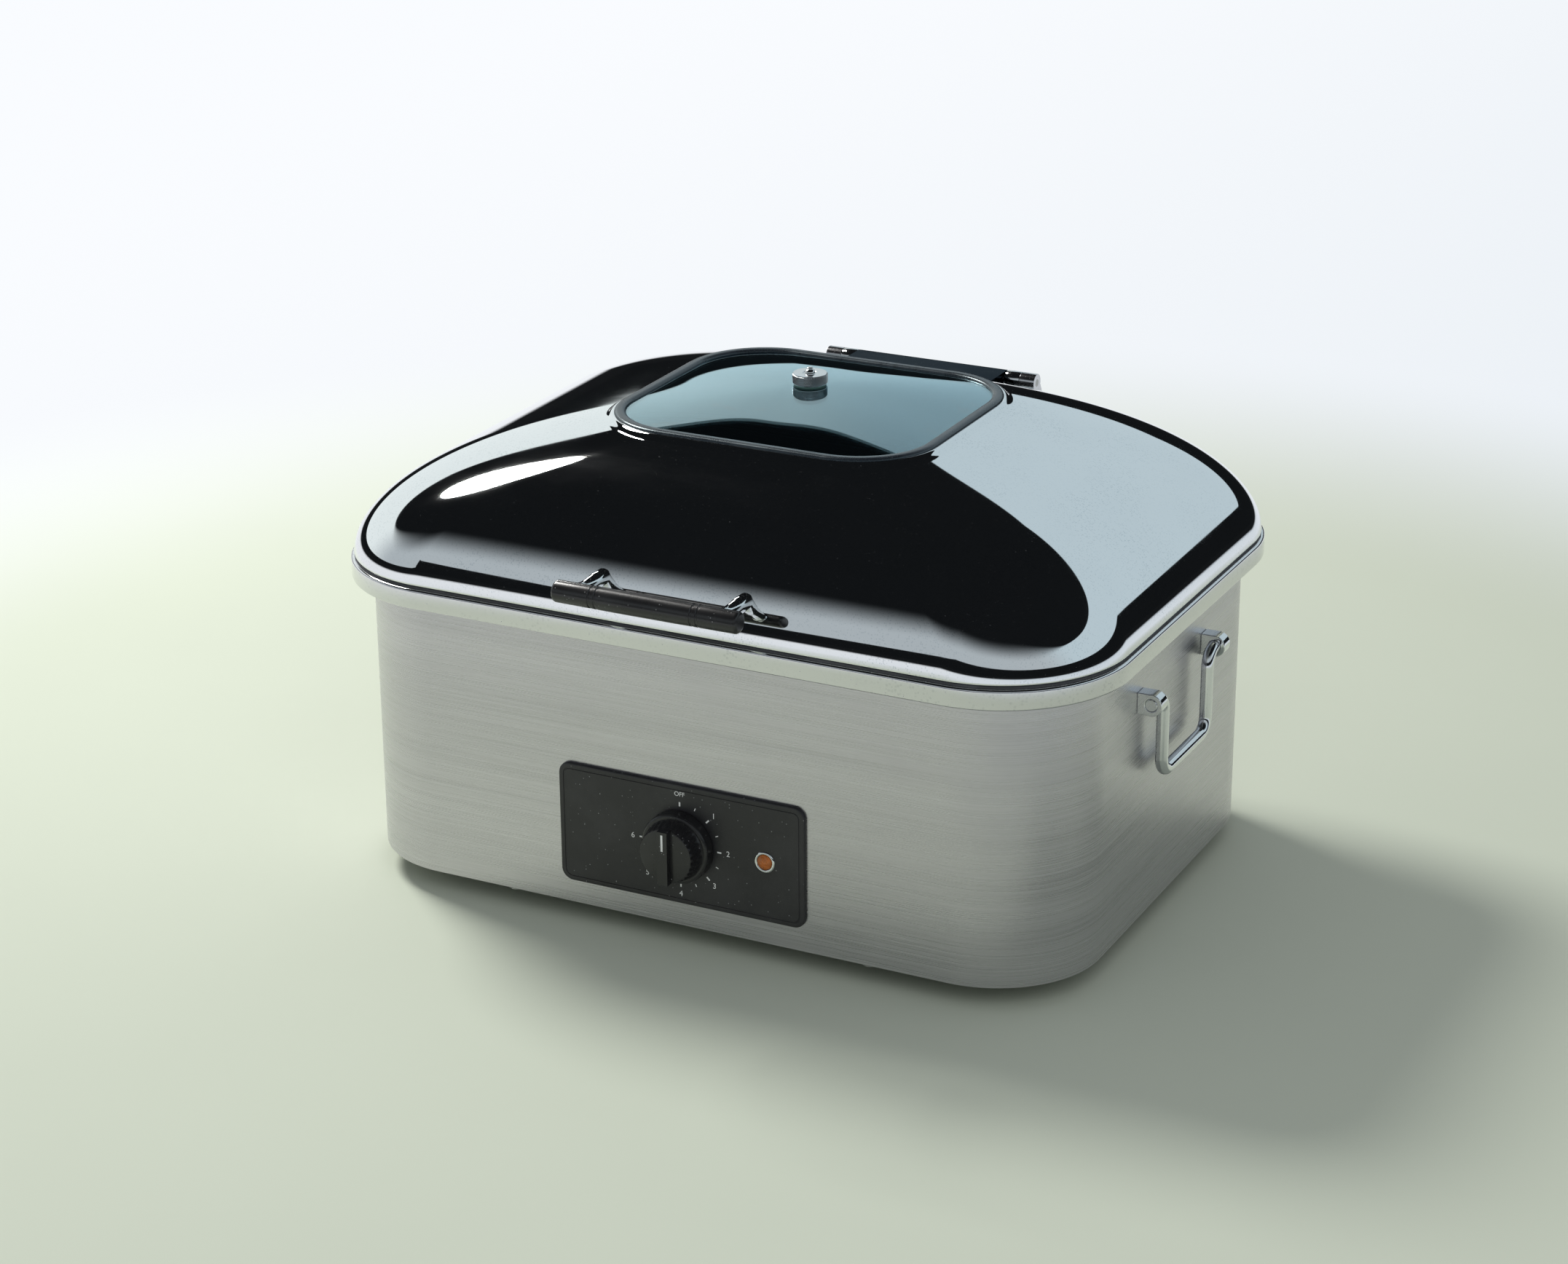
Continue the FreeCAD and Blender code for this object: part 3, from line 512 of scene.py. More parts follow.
def makeDome():
    bm = bmesh.new()
    flat, collar, seat = pick(window, "collarFlat collar seat")
    loops = [windowLoop(offset, collarTop) for offset in (-seat, 0, flat - 0.3 * mm)]
    for k in range(9):
        offset = flat + (collar - flat) * k / 9
        loops.append(windowLoop(offset, domeTop + domeLean * (collar - offset) + collarRise(offset)))
    shares = [lid["fineStep"] * k for k in range(10)]
    start, levels = shares[-1], lid["levels"]
    shares += [start + (1 - start) * (1 - (1 - k / levels) ** lid["spread"]) for k in range(1, levels + 1)]
    loops += [domeLoop(share, 0) for share in shares]
    half, low, beadTop = lid["bead"] / 2, lid["low"], lid["low"] + lid["beadHeight"]
    bead = arcPoints((-half, low + half), half, 0, -180, 10)[1:]
    inside = len(loops) + len(bead) - 4  # from here on the sheet is satin
    bead += [(-lid["bead"], beadTop), (-lid["sheet"] * 1.3, beadTop + 1.2 * mm)]
    loops += [grown(lid, offset, z, lid["arcSteps"]) for offset, z in bead]
    loops += [domeLoop(max(1 - (k / 40) ** lid["spread"], 0.004), lid["sheet"]) for k in range(4, 41)]
    loops.append(windowLoop(-seat, domeTop - lid["sheet"]))
    skin(bm, loops, closed=True, second=inside)
    addPiece("lidDome", bm, "polished", "lid", ["lid_dome"], smooth=50, inner="satin")


def makeGasket():
    bm = bmesh.new()
    width, lip, seat = pick(window, "gasket lip seat")
    low, ease = paneUnder - lip, 0.4 * mm
    profile = []
    for k in range(25):  # rounded rubber bead, flatter on its crown
        t = k / 24
        bulge = (1 - abs(2 * t - 1) ** 2.6) ** 0.5
        profile.append((-width * t, collarTop + 0.05 * mm + (lip - 0.05 * mm) * bulge))
    profile += [(0.2 * mm - width, collarTop - 0.1 * mm), (paneHold, collarTop - 0.05 * mm),
                (paneHold, paneUnder), (-width, paneUnder), (-width, low + ease), (ease - width, low),
                (-seat - ease, low), (-seat, low + ease), (-seat, collarTop), (-0.3 * mm, collarTop)]
    skin(bm, [windowLoop(o, z) for o, z in profile], closed=True)
    addPiece("windowGasket", bm, "gasket", "lid", ["window_gasket"], smooth=60)


def makeGlass():
    bm = bmesh.new()
    flat, crown, power, hub, start = pick(window, "flat crown squareness hub rim")
    radius = window["corner"] - window["gasket"]

    def crownLoop(share, drop):
        fall = (max(share, flat) ** crown - flat ** crown) / (1 - flat ** crown)
        z = collarTop - drop + (glassTop - collarTop) * (1 - fall)
        ring = outline(paneX * share, paneY * share, radius * share, z, lid["arcSteps"])
        blend = clamp((share - 0.8) / 0.2)
        for k, p in enumerate(ring):  # soft squared oval inside, true rounded corners at the edge
            gauge = ((abs(p.x) / paneX) ** power + (abs(p.y) / paneY) ** power) ** (1 / power)
            ring[k] = Vector((p.x * share / gauge, p.y * share / gauge, z)).lerp(p, blend)
        keep = clamp((share - hub) / (start - hub))  # the first rings ease from the stud's round hole
        holes = [Vector((p.x, p.y, 0)).normalized() * window["hole"] + Vector((0, 0, z)) for p in ring]
        return [hole.lerp(p, keep) for hole, p in zip(holes, ring)]
    shares = [hub + 0.02 * k for k in range(6)] + [start + (1 - start) * k / 30 for k in range(1, 31)]
    loops = [crownLoop(s, 0) for s in shares]
    loops += [windowLoop(paneHold, collarTop - 0.1 * mm), windowLoop(paneHold, paneUnder + 0.1 * mm)]
    loops += [crownLoop(s, window["pane"]) for s in reversed(shares)]
    skin(bm, loops, closed=True)
    addPiece("windowGlass", bm, "glass", "lid", ["window_glass"], smooth=50)


makeDome()
makeGasket()
makeGlass()
print("lid shell, gasket and glass made")


# vent: knurled knob on a stepped stud
vent = lengths(radius=11.25, height=6.6, chamfer=0.5, cut=0.5, bore=3.05, dish=4.6, washer=10.4,
               washerHeight=1, stud=3, head=3.3, neck=1.45, tip=1.8, nutFlats=10, nutHeight=5, pitch=0.5)
vent.update(low=glassTop + 1.2 * mm, knurls=46, rows=3, groove=0.62, fine=8)
ventUnder = glassTop - window["pane"] - vent["washerHeight"]


def makeVentKnob():
    bm = bmesh.new()
    radius, cut, bore, dish, fine = pick(vent, "radius cut bore dish fine")
    count, rows = vent["knurls"] * fine, vent["rows"] * fine
    low, high = vent["low"], vent["low"] + vent["height"]
    bandLow, bandHigh = low + vent["chamfer"], high - vent["chamfer"]
    turns = [2 * pi * k / count for k in range(count)]

    def ring(r, z):
        return [spun(r, a, z) for a in turns]
    plain = radius - cut
    loops = [ring(bore, low), ring(plain - 1 * mm, low), ring(plain, low + 0.15 * mm)]
    for row in range(rows + 1):
        band = []
        for k, a in enumerate(turns):
            ridge = min(abs(((k + sign * row) / fine) % 1 * 2 - 1) for sign in (1, -1))
            depth = 1 if row in (0, rows) else clamp(1 - ridge / vent["groove"])
            band.append(spun(radius - cut * depth, a, bandLow + (bandHigh - bandLow) * row / rows))
        loops.append(band)
    loops += [ring(plain, high - 0.15 * mm), ring(plain - 0.15 * mm, high), ring(dish, high),
              ring(dish - 0.5 * mm, high - 0.3 * mm), ring(bore, high - 0.3 * mm)]
    skin(bm, loops, closed=True)
    addPiece("ventKnob", bm, "knurl", "vent_knob", ["vent_knob"], smooth=20)


def makeVentStud():
    bm = bmesh.new()
    r, wide, neck, tip, pitch = pick(vent, "stud head neck tip pitch")
    head = vent["low"] + vent["height"] + 0.2 * mm
    low = ventUnder - vent["nutHeight"] - 2.4 * mm
    profile = [(0.0, low), (r - 0.5 * mm, low), (r, low + 0.5 * mm)]
    for k in range(12):  # thread below the pane
        z = low + 0.7 * mm + pitch * k
        profile += [(r - 0.02 * mm, z), (r - 0.28 * mm, z + pitch / 2)]
    profile += [(r, glassTop - 3 * mm), (r, head), (wide - 0.1 * mm, head)]
    for k in range(13):  # bell that narrows to a small button
        t = k / 12
        profile.append((wide - (wide - neck) * t ** 2.2, head + 0.1 * mm + 2.1 * mm * t))
    profile += [(neck, head + 2.4 * mm), (tip - 0.15 * mm, head + 2.5 * mm), (tip, head + 2.65 * mm)]
    profile += arcPoints((0.8 * mm, head + 3.1 * mm), tip - 0.8 * mm, 0, 90, rise=0.38 * mm)
    turned(bm, profile + [(0.0, head + 3.5 * mm)], 48)
    addPiece("ventStud", bm, "chrome", "lid", ["vent_stud"], smooth=30)


def makeWasher(name, node, low):
    bm = bmesh.new()
    r, bore, high, ease = vent["washer"], vent["stud"], low + vent["washerHeight"], 0.25 * mm
    profile = [(bore, low), (r - 0.2 * mm, low), (r, low + ease), (r, high - ease), (r - ease, high),
               (bore, high), (bore, low)]
    turned(bm, profile, 64)
    addPiece(name, bm, "washer", "lid", [node])


def makeVentNut():
    bm = bmesh.new()
    flat, bore = vent["nutFlats"] / 2, vent["stud"]
    corner = flat / cos(pi / 6)
    low, high = ventUnder - vent["nutHeight"], ventUnder

    def hexReach(a, r, h):
        facet = (a + pi / 6) % (pi / 3) - pi / 6
        return min(r, flat / cos(pi / 6 - abs(facet))) if r > bore + 0.1 * mm else r
    profile = [(bore, low), (flat - 0.2 * mm, low), (corner - 0.2 * mm, low + 0.5 * mm),
               (corner, low + 0.7 * mm), (corner, high - 0.3 * mm), (flat, high), (bore, high), (bore, low)]
    turned(bm, profile, radiusAt=hexReach)
    addPiece("ventNut", bm, "chrome", "lid", ["vent_nut"], smooth=25)


makeVentKnob()
makeVentStud()
makeWasher("ventWasher", "vent_washer", glassTop)
makeWasher("ventLowerWasher", "vent_lower_washer", ventUnder)
makeVentNut()
print("vent made")


# handle across the lid's front
grip = lengths(radius=7, half=62, y=-216, z=240, post=5, postX=48, reach=34, ringDepth=0.45, ease=2.4)


def makeGrip():
    bm = bmesh.new()
    r, half, ease = pick(grip, "radius half ease")
    slim = r - 0.1 * mm
    groove = slim - grip["ringDepth"]
    rounded = arcPoints((slim - 2.5 * mm, 0), ease, 0, 90)

    def ringAt(centre):  # a shallow groove round the grip
        steps = ((-0.9, slim), (-0.5, groove), (0.5, groove), (0.9, slim))
        return [(reach, (centre + step) * mm) for step, reach in steps]
    profile = [(0.0, -half)] + [(p, ease - half - q) for p, q in reversed(rounded)]
    profile += ringAt(-36) + ringAt(-32) + [(r, -20 * mm), (r, 20 * mm)] + ringAt(32) + ringAt(36)
    profile += [(p, half - ease + q) for p, q in rounded] + [(0.0, half)]
    turned(bm, profile, 48, Matrix.Translation((0, grip["y"], grip["z"])) @ alongX)
    addPiece("lidGrip", bm, "grip", "lid", ["lid_grip"], smooth=40)


def makeGripPosts():
    bm = bmesh.new()
    r = grip["post"]
    slim, start = r - 0.5 * mm, grip["y"] + grip["radius"] * 0.7
    run = grip["y"] + grip["reach"] - start
    profile = [(0.0, 0.0), (r, 0.0), (r, 2.6 * mm), (slim, 3.2 * mm), (slim, run - 12 * mm),
               (r, run - 11 * mm), (r, run), (0.0, run)]
    for side in (-1, 1):
        turned(bm, profile, 40, Matrix.Translation((side * grip["postX"], start, grip["z"])) @ rearward)
    addPiece("lidGripPosts", bm, "chrome", "lid", ["lid_grip_posts"], smooth=35)


makeGrip()
makeGripPosts()

# hinge: leaf with inner knuckles on the lid, bracket with outer knuckles on the housing
hinge = lengths(y=185, z=274.8, radius=6, inner=55, split=66, leaf=2.5, depth=41.6, lean=3.9, ease=0.6)


def knuckle(bm, start, end):
    r, ease = pick(hinge, "radius ease")
    slim, cut = r - ease * 0.3, ease * 0.3
    profile = [(0.0, start), (r - ease, start), (slim, start + cut), (r, start + ease), (r, end - ease),
               (slim, end - cut), (r - ease, end), (0.0, end)]
    turned(bm, profile, 56, Matrix.Translation((0, hinge["y"], hinge["z"])) @ alongX)


def makeLeaf():
    bm = bmesh.new()
    inner, back, top = hinge["inner"], hinge["y"], hinge["z"] + hinge["radius"]
    block(bm, (-inner, back - hinge["depth"], top - hinge["leaf"]), (inner, back, top))
    for v in bm.verts:  # the buried end leans with the dome's sheet
        if v.co.y < back - 1 * mm and v.co.z < top - 1 * mm:
            v.co.y += hinge["lean"]
    softEdges(bm, 0.7 * mm, 30, 3)
    knuckle(bm, -inner, inner)
    addPiece("hingeLeaf", bm, "leaf", "lid", ["hinge_leaf"], smooth=40)
    bm = bmesh.new()
    for side in (-1, 1):
        knuckle(bm, *sorted((side * (inner + 0.15 * mm), side * hinge["split"])))
    addPiece("leafKnuckles", bm, "chrome", "lid", smooth=40)


makeLeaf()
softCopy("hinge_bracket", "bracket", "base", 0.5 * mm)
print("lid handle and hinge made")


# housing, rim and seal: profiles carried round a rounded rectangle
housing = lengths(halfX=248, halfY=178, corner=70, low=16, top=210.2, sheet=0.8, hem=0.35, flange=22)
rim = lengths(halfX=262, halfY=192, corner=84, low=200, under=211, top=213, width=43, lip=2.4, round=1.8)
seal = lengths(inset=2.2, width=7, height=1.47, foot=0.1)
inletGap = Vector((5, 20, 3.6)) * mm, Vector((5, 20, 5.2)) * mm  # room below and above the pins


def carried(bm, shape, profile):
    skin(bm, [grown(shape, offset, z) for offset, z in profile], closed=True)


def makeHousing():
    bm = bmesh.new()
    t, low, top, hem, flange = pick(housing, "sheet low top hem flange")
    carried(bm, housing, [
        (0.0, top), (0.0, low + hem), (-hem, low), (-t + 0.1 * mm, low), (-t, low + 0.1 * mm),
        (-t, top - t), (-flange, top - t), (-flange, top)])
    piece = addPiece("housingWrap", bm, "brushed", "base", ["housing_shell"], smooth=40)
    pinsLow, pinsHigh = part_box("inlet_pins")
    cutAway(piece, pinsLow - inletGap[0], pinsHigh + inletGap[1])


def makeRim():
    bm = bmesh.new()
    r, top, width, under, lip = pick(rim, "round top width under lip")
    half = lip / 2
    profile = [(-width, under), (-width, top - 0.4 * mm), (-width + 0.4 * mm, top)]
    profile += arcPoints((-r, top - r), r, 90, 0, 8)
    profile += arcPoints((-half, rim["low"] + half), half, 0, -180, 10)
    carried(bm, rim, profile + [(-lip, under)])
    addPiece("topRim", bm, "rim", "base", ["top_rim"], smooth=40)


def makeSeal():
    bm = bmesh.new()
    inset, width, height, step = pick(seal, "inset width height foot")
    start, low = -inset, rim["top"]
    profile = [(start, low)]
    for k in range(13):
        t = k / 12
        crest = 1 - abs(2 * t - 1) ** 12
        profile.append((start - width * t, low + step + (height - step) * crest))
    carried(bm, rim, profile + [(start - width, low)])
    addPiece("rimSeal", bm, "seal", "base", ["rim_seal"], smooth=50)


makeHousing()
makeRim()
makeSeal()

# lift-out pot with a rolled flange
pot = lengths(halfX=210.5, halfY=140.5, corner=34, wall=2.5, floor=90, top=215.5, flange=19.5, round=20,
              bend=5, lip=2, least=4)


def makePot():
    bm = bmesh.new()
    w, r, low, top, bend, lip = pick(pot, "wall round floor top bend lip")
    inner = r - w
    profile = arcPoints((-r, low + r), r, -90, 0, 10)
    profile += arcPoints((lip, top - w - lip), lip, 180, 90, 5)
    profile += arcPoints((pot["flange"] - w / 2, top - w / 2), w / 2, -90, 90, 8)
    profile += arcPoints((bend - w, top - bend), bend, 90, 180, 7)
    profile += arcPoints((-w - inner, low + w + inner), inner, 0, -90, 10)
    loops = [outline(pot["halfX"] + o, pot["halfY"] + o, max(pot["corner"] + o, pot["least"]), z)
             for o, z in profile]
    skin(bm, loops, capped=True)
    addPiece("cookingPot", bm, "coat", "cooking_pot", ["cooking_pot"], smooth=40)


makePot()
print("housing, rim, seal and pot made")

# controls: dial panel, knob, lamp
panelLow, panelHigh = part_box("control_panel")
panel = lengths(corner=8, round=1.25, groove=3.2, tickIn=25.6, tickOut=28.4, textAt=33, textSize=5.2,
                ink=0.08)
panel.update(halfX=(panelHigh.x - panelLow.x) / 2, halfZ=(panelHigh.z - panelLow.z) / 2,
             z=(panelLow.z + panelHigh.z) / 2, face=panelLow.y, back=panelHigh.y, sweep=270, settings=6)
knob = lengths(radius=23, skirt=8, wall=20.2, top=18, height=23, bar=3.5, rise=4, flute=0.55, hollow=17,
               hollowDepth=6, round=2)
knob.update(back=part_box("control_knob")[1].y, flutes=30)


def makePanel():
    bm = bmesh.new()
    deep, r, g = panel["back"] - panel["face"], panel["round"], panel["groove"]
    profile = [(0.0, 0.0)] + arcPoints((-r, deep - r), r, 0, 90, 5)
    profile += [(-g, deep), (-g - 0.25 * mm, deep - 0.35 * mm), (-g - 0.75 * mm, deep - 0.35 * mm),
                (-g - 1 * mm, deep)]
    place = Matrix.Translation((0, panel["back"], panel["z"])) @ frontward
    loops = [outline(panel["halfX"] + o, panel["halfZ"] + o, panel["corner"] + max(o, -6 * mm), h)
             for o, h in profile]
    skin(bm, [[place @ p for p in loop] for loop in loops], capped=True)
    addPiece("controlPanel", bm, "black", "base", ["control_panel"], smooth=30,
             moved=False)


def dialAngle(share):
    return radians(90 - panel["sweep"] * share)


def makeTicks():
    bm = bmesh.new()
    steps = panel["settings"] * 2
    base, lift = Vector((0, panel["face"], panel["z"])), Vector((0, -panel["ink"], 0))
    for k in range(steps + 1):
        a = dialAngle(k / steps)
        half, shorter = (0.5 * mm, 0) if k % 2 == 0 else (0.28 * mm, 0.9 * mm)
        away, across = Vector((cos(a), 0, sin(a))), Vector((-sin(a), 0, cos(a))) * half
        start, end = away * (panel["tickIn"] + shorter), away * panel["tickOut"]
        corners = [base + c for c in (start + across, start - across, end - across, end + across)]
        skin(bm, [[c - lift for c in corners], [c + lift for c in corners]], capped=True)
    addPiece("dialTicks", bm, "ink", "base", moved=False)


def makeDialText():
    for k in range(panel["settings"] + 1):
        a = dialAngle(k / panel["settings"])
        words = bpy.data.curves.new("dialText", "FONT")
        words.body = "OFF" if k == 0 else str(k)
        words.size = panel["textSize"] * (0.8 if k == 0 else 1)
        words.align_x, words.align_y = "CENTER", "CENTER"
        words.extrude = panel["ink"]
        holder = linked("dialText", words)
        mesh = settled(holder)
        bpy.data.objects.remove(holder)
        reach = panel["textAt"] + (0.6 * mm if k == 0 else 0)
        place = Vector((reach * cos(a), panel["face"], panel["z"] + reach * sin(a)))
        mesh.transform(Matrix.Translation(place) @ frontward)
        mesh.materials.clear()
        mesh.materials.append(finishes["ink"])
        piece = linked("dialMark" + str(k), mesh)
        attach(piece, "base")


def makeKnob():
    bm = bmesh.new()
    place = Matrix.Translation((0, knob["back"], panel["z"])) @ frontward
    s, r, top, high, turn, hollow, deep = pick(knob, "skirt radius top height round hollow hollowDepth")
    wall, crown = knob["wall"], high - knob["rise"]
    profile = [(0.0, deep), (hollow, deep), (hollow, 0.0), (r - 0.4 * mm, 0.0), (r, 0.4 * mm)]
    profile += arcPoints((r - turn, s - turn), turn, 0, 90, 5) + [(wall, s)]
    start, end = Vector((wall - 0.3 * mm, s + 0.4 * mm)), Vector((top + 0.1 * mm, crown - 1.2 * mm))
    profile += [tuple(start.lerp(end, k / 6)) for k in range(7)]
    profile += [(top - 0.6 * mm, crown - 0.3 * mm), (top - 1.6 * mm, crown), (0.0, crown)]

    def fluted(a, reach, h):
        inBand = s + 0.6 * mm < h < crown - 0.5 * mm
        return reach - knob["flute"] * (0.5 - 0.5 * cos(a * knob["flutes"])) if inBand else reach
    turned(bm, profile, knob["flutes"] * 8, place, fluted)
    addPiece("dialKnob", bm, "grip", "control_knob", ["control_knob"], smooth=32,
             moved=False)
    bm = bmesh.new()
    half, reach = knob["bar"], top - 0.4 * mm
    block(bm, (-half, -reach, s + 2 * mm), (half, reach, high))
    softEdges(bm, 1.1 * mm, 30, 4)
    bmesh.ops.transform(bm, matrix=place, verts=bm.verts)
    addPiece("dialPointer", bm, "grip", "control_knob", smooth=45, moved=False)
    bm = bmesh.new()
    block(bm, (-0.7 * mm, 5 * mm, high - 0.4 * mm), (0.7 * mm, top - 2.2 * mm, high - 0.01 * mm))
    bmesh.ops.transform(bm, matrix=Matrix.Translation((0, -0.05 * mm, 0)) @ place, verts=bm.verts)
    addPiece("dialPointerLine", bm, "ink", "control_knob", moved=False)


lampLow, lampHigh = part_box("pilot_lens")
lamp = lengths(radius=5, stand=1.5, depth=3, edge=0.2, bezel=6.8, bezelHeight=0.9)
lamp.update(middle=(lampLow + lampHigh) / 2, colour=(0.72, 0.2, 0.03))


def lens(wire, place):
    cloud = place.grain(260, 2).ramp(0.3, 0.7)
    return wire.surface({
        "Base Color": cloud.tint(tuple(c * 0.7 for c in lamp["colour"]), lamp["colour"]),
        "Roughness": 0.12 + cloud * 0.08,
        "Transmission Weight": 0.35,
        "Normal": place.cells(620).bump(0.5, 0.0006),
    })


def makeLamp():
    finishes["lens"] = mixed(lens, "amberLens")
    place = Matrix.Translation((lamp["middle"].x, panel["face"], lamp["middle"].z)) @ frontward
    bm = bmesh.new()
    r, low, edge = lamp["radius"], -lamp["depth"], lamp["edge"]
    slim = r - 0.1 * mm
    profile = [(0.0, low), (slim, low)] + arcPoints((0, edge), slim, 0, 90, 10, rise=lamp["stand"] - edge)
    turned(bm, profile, 48, place)
    addPiece("pilotLens", bm, "lens", "base", ["pilot_lens"], moved=False)
    bm = bmesh.new()
    b, t = lamp["bezel"], lamp["bezelHeight"]
    profile = [(r, 0.0), (b, 0.0), (b, t * 0.4), (b - 0.4 * mm, t * 0.85), (b - 0.9 * mm, t),
               (r + 0.2 * mm, t * 0.7), (r, t * 0.4), (r, 0.0)]
    turned(bm, profile, 56, place)
    addPiece("lampBezel", bm, "chrome", "base", moved=False)


makePanel()
makeTicks()
makeDialText()
makeKnob()
makeLamp()
print("controls made")

# carrying handles, feet, inlet and screws
bail = lengths(x=257, z=165, half=38, drop=52, bend=10, radius=4, end=59, ease=0.5)
foot = lengths(radius=17, taper=2, height=16, bore=2, recess=4.2, recessDepth=8.4, ring=0.5)
screwLook = lengths(radius=4, height=2.4, slot=0.5, slotLength=2.3, slotDepth=1.2)


def makeBail(side, name):
    bm = bmesh.new()
    z, h, b, r, end, ease = pick(bail, "z half bend radius end ease")
    low = z - bail["drop"]
    points = [(-end, z), (ease - end, z)]
    for y, height, start, stop in ((-h - b, z - b, 90, 0), (b - h, low + b, 180, 270),
                                   (h - b, low + b, 270, 360), (h + b, z - b, 180, 90)):
        points += arcPoints((y, height), b, start, stop, 10)
    points += [(end - ease, z), (end, z)]
    path = [Vector((side * bail["x"], y, height)) for y, height in points]
    rod(bm, path, [r - ease] + [r] * (len(path) - 2) + [r - ease], 32)
    addPiece("bail" + name.capitalize(), bm, "chrome", "bail_" + name,
             ["bail_handle_" + name], smooth=40)


def makeFoot(node):
    low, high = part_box(node)
    bm = bmesh.new()
    r, h, t, bore, recess, deep = pick(foot, "radius height taper bore recess recessDepth")
    toe = r - t
    profile = [(bore, deep), (recess, deep), (recess, 0.4 * mm), (recess + 0.4 * mm, 0.0),
               (toe - 1.2 * mm, 0.0), (toe - 0.3 * mm, 0.4 * mm), (toe + 0.1 * mm, 1.4 * mm)]
    for z in (5 * mm, 8 * mm, 11 * mm):  # moulded rings
        edge = toe + t * z / h
        inner = edge - foot["ring"]
        profile += [(edge, z - 0.8 * mm), (inner, z - 0.3 * mm), (inner, z + 0.3 * mm),
                    (edge, z + 0.8 * mm)]
    profile += [(r - 0.1 * mm, h - 0.8 * mm), (r - 0.6 * mm, h), (bore, h)]
    turned(bm, profile, 64, Matrix.Translation(((low.x + high.x) / 2, (low.y + high.y) / 2, 0)))
    addPiece("rubber_" + node, bm, "foot", "base", [node], smooth=35, moved=False)


def makeScrews(node, places):
    bm = bmesh.new()
    r, h, long, thin = pick(screwLook, "radius height slotLength slot")
    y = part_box(node)[1].y - h
    profile = [(0.0, 0.0), (r - 0.1 * mm, 0.0), (r, 0.25 * mm)]
    profile += arcPoints((0, h * 0.35), r, 0, 90, 7, rise=h * 0.65)
    for x, z in places:
        turned(bm, profile, 40, Matrix.Translation((x, y, z)) @ rearward)
    piece = addPiece("heads_" + node, bm, "steel", "base", [node], smooth=35, moved=False)
    start, end = y + h - screwLook["slotDepth"], y + h + 1 * mm
    for x, z in places:
        for wide, tall in ((long, thin), (thin, long)):
            cutAway(piece, (x - wide, start, z - tall), (x + wide, end, z + tall))


makeBail(1, "right")
makeBail(-1, "left")
softCopy("bail_lugs_right", "chrome", "base", 0.7 * mm)
softCopy("bail_lugs_left", "chrome", "base", 0.7 * mm)
for corner in ("front_left", "front_right", "rear_left", "rear_right"):
    makeFoot("foot_" + corner)
softCopy("power_inlet", "black", "base", 0.5 * mm)
makeScrews("bracket_screws", [(x, z) for x in (-50 * mm, 50 * mm) for z in (135 * mm, 160 * mm)])
makeScrews("inlet_screws", [(-170 * mm, 46 * mm), (-130 * mm, 46 * mm)])
print("handles, feet, inlet and screws made")

# solids that keep their own shape get a finish
kept = {"steel": ("base_plate", "floor_screws", "foot_screws", "heating_well", "element_clamps",
                  "heat_shield", "shield_standoffs", "thermal_fuse", "control_shaft", "hinge_pin_right",
                  "hinge_pin_left"),
        "fibre": ("insulation_blanket",), "sheath": ("heating_element",), "chrome": ("switch_nut",),
        "natural": ("rotary_switch", "lamp_holder"), "brass": ("inlet_pins",)}
kept.update((sleeve, ("wire_" + sleeve,)) for sleeve in sleeves)
for finish, names in kept.items():
    for name in names:
        nodes[name].data.materials.clear()
        nodes[name].data.materials.append(finishes[finish])
print("kept solids finished")

# stage: pale floor, soft studio light, camera where the photo's was
studio = dict(
    size=30.0, floor=(0.62, 0.67, 0.56), farLeft=(0.95, 0.97, 1.0), farRight=(0.68, 0.75, 0.81),
    farTurn=(-1.6, 2.6), near=0.66, fade=1.2, dim=(2.0, 3.2), dimTone=(0.009, 0.01, 0.011),
    backdrop=(-0.11, 0.17), wallLeft=(0.93, 1.0, 1.0), wallRight=(0.585, 0.7, 0.755),
    wallTurn=(-0.57, -0.33), wallTop=(-0.8, -0.05, 0.42, 0.6), wallEdge=0.0018,
    front=(0.5, 0.55, 0.58), frontTurn=(-0.1, 0.5), frontEdge=0.17,
    bandTop=(-0.6, -0.15, 0.045, 0.22), bandEdge=0.003, screenTop=(-0.55, -0.43, 0.205, 0.09),
    screenEdge=(-0.556, -0.55), roof=(0.007, 0.008, 0.009), ambient=(0.34, 0.35, 0.37))


def lightPath(wire):
    path = wire.make("LightPath", out="Is Camera Ray")
    shown = path + path.side("Is Glossy Ray") + path.side("Is Transmission Ray")
    return path, wire.maths("MINIMUM", shown, 1.0)


def paper(wire, place):
    axes = wire.make("SeparateXYZ", {0: place})
    distance = (axes ** 2.0 + axes.side("Y") ** 2.0) ** 0.5
    away = distance.ramp(studio["near"], studio["fade"])
    mottle = place.grain(3).ramp(0.3, 0.7) * 0.35
    # painted light falloff: the far paper is brighter at the left and darker, bluer at the right
    far = axes.ramp(*studio["farTurn"]).tint(studio["farLeft"], studio["farRight"])
    tone = away.tint(mottle.tint(studio["floor"], tuple(c * 0.95 for c in studio["floor"])), far)
    matt = wire.surface({"Base Color": tone, "Roughness": 0.9, "Specular IOR Level": 0.1})
    path, seen = lightPath(wire)
    mirrored = distance.ramp(*studio["dim"]) * path.side("Is Glossy Ray")  # dim past the paper
    glow = wire.make("Emission", {"Color": mirrored.tint(tone, studio["dimTone"])})
    return wire.make("MixShader", {0: away * seen, 1: matt, 2: glow})


def makeFloor():
    half = studio["size"] / 2
    corners = [(-half, -half, 0), (half, -half, 0), (half, half, 0), (-half, half, 0)]
    mesh = bpy.data.meshes.new("studioFloor")
    mesh.from_pydata(corners, [], [(0, 1, 2, 3)])
    mesh.materials.append(mixed(paper, "studioFloor"))
    floor = linked("studioFloor", mesh)


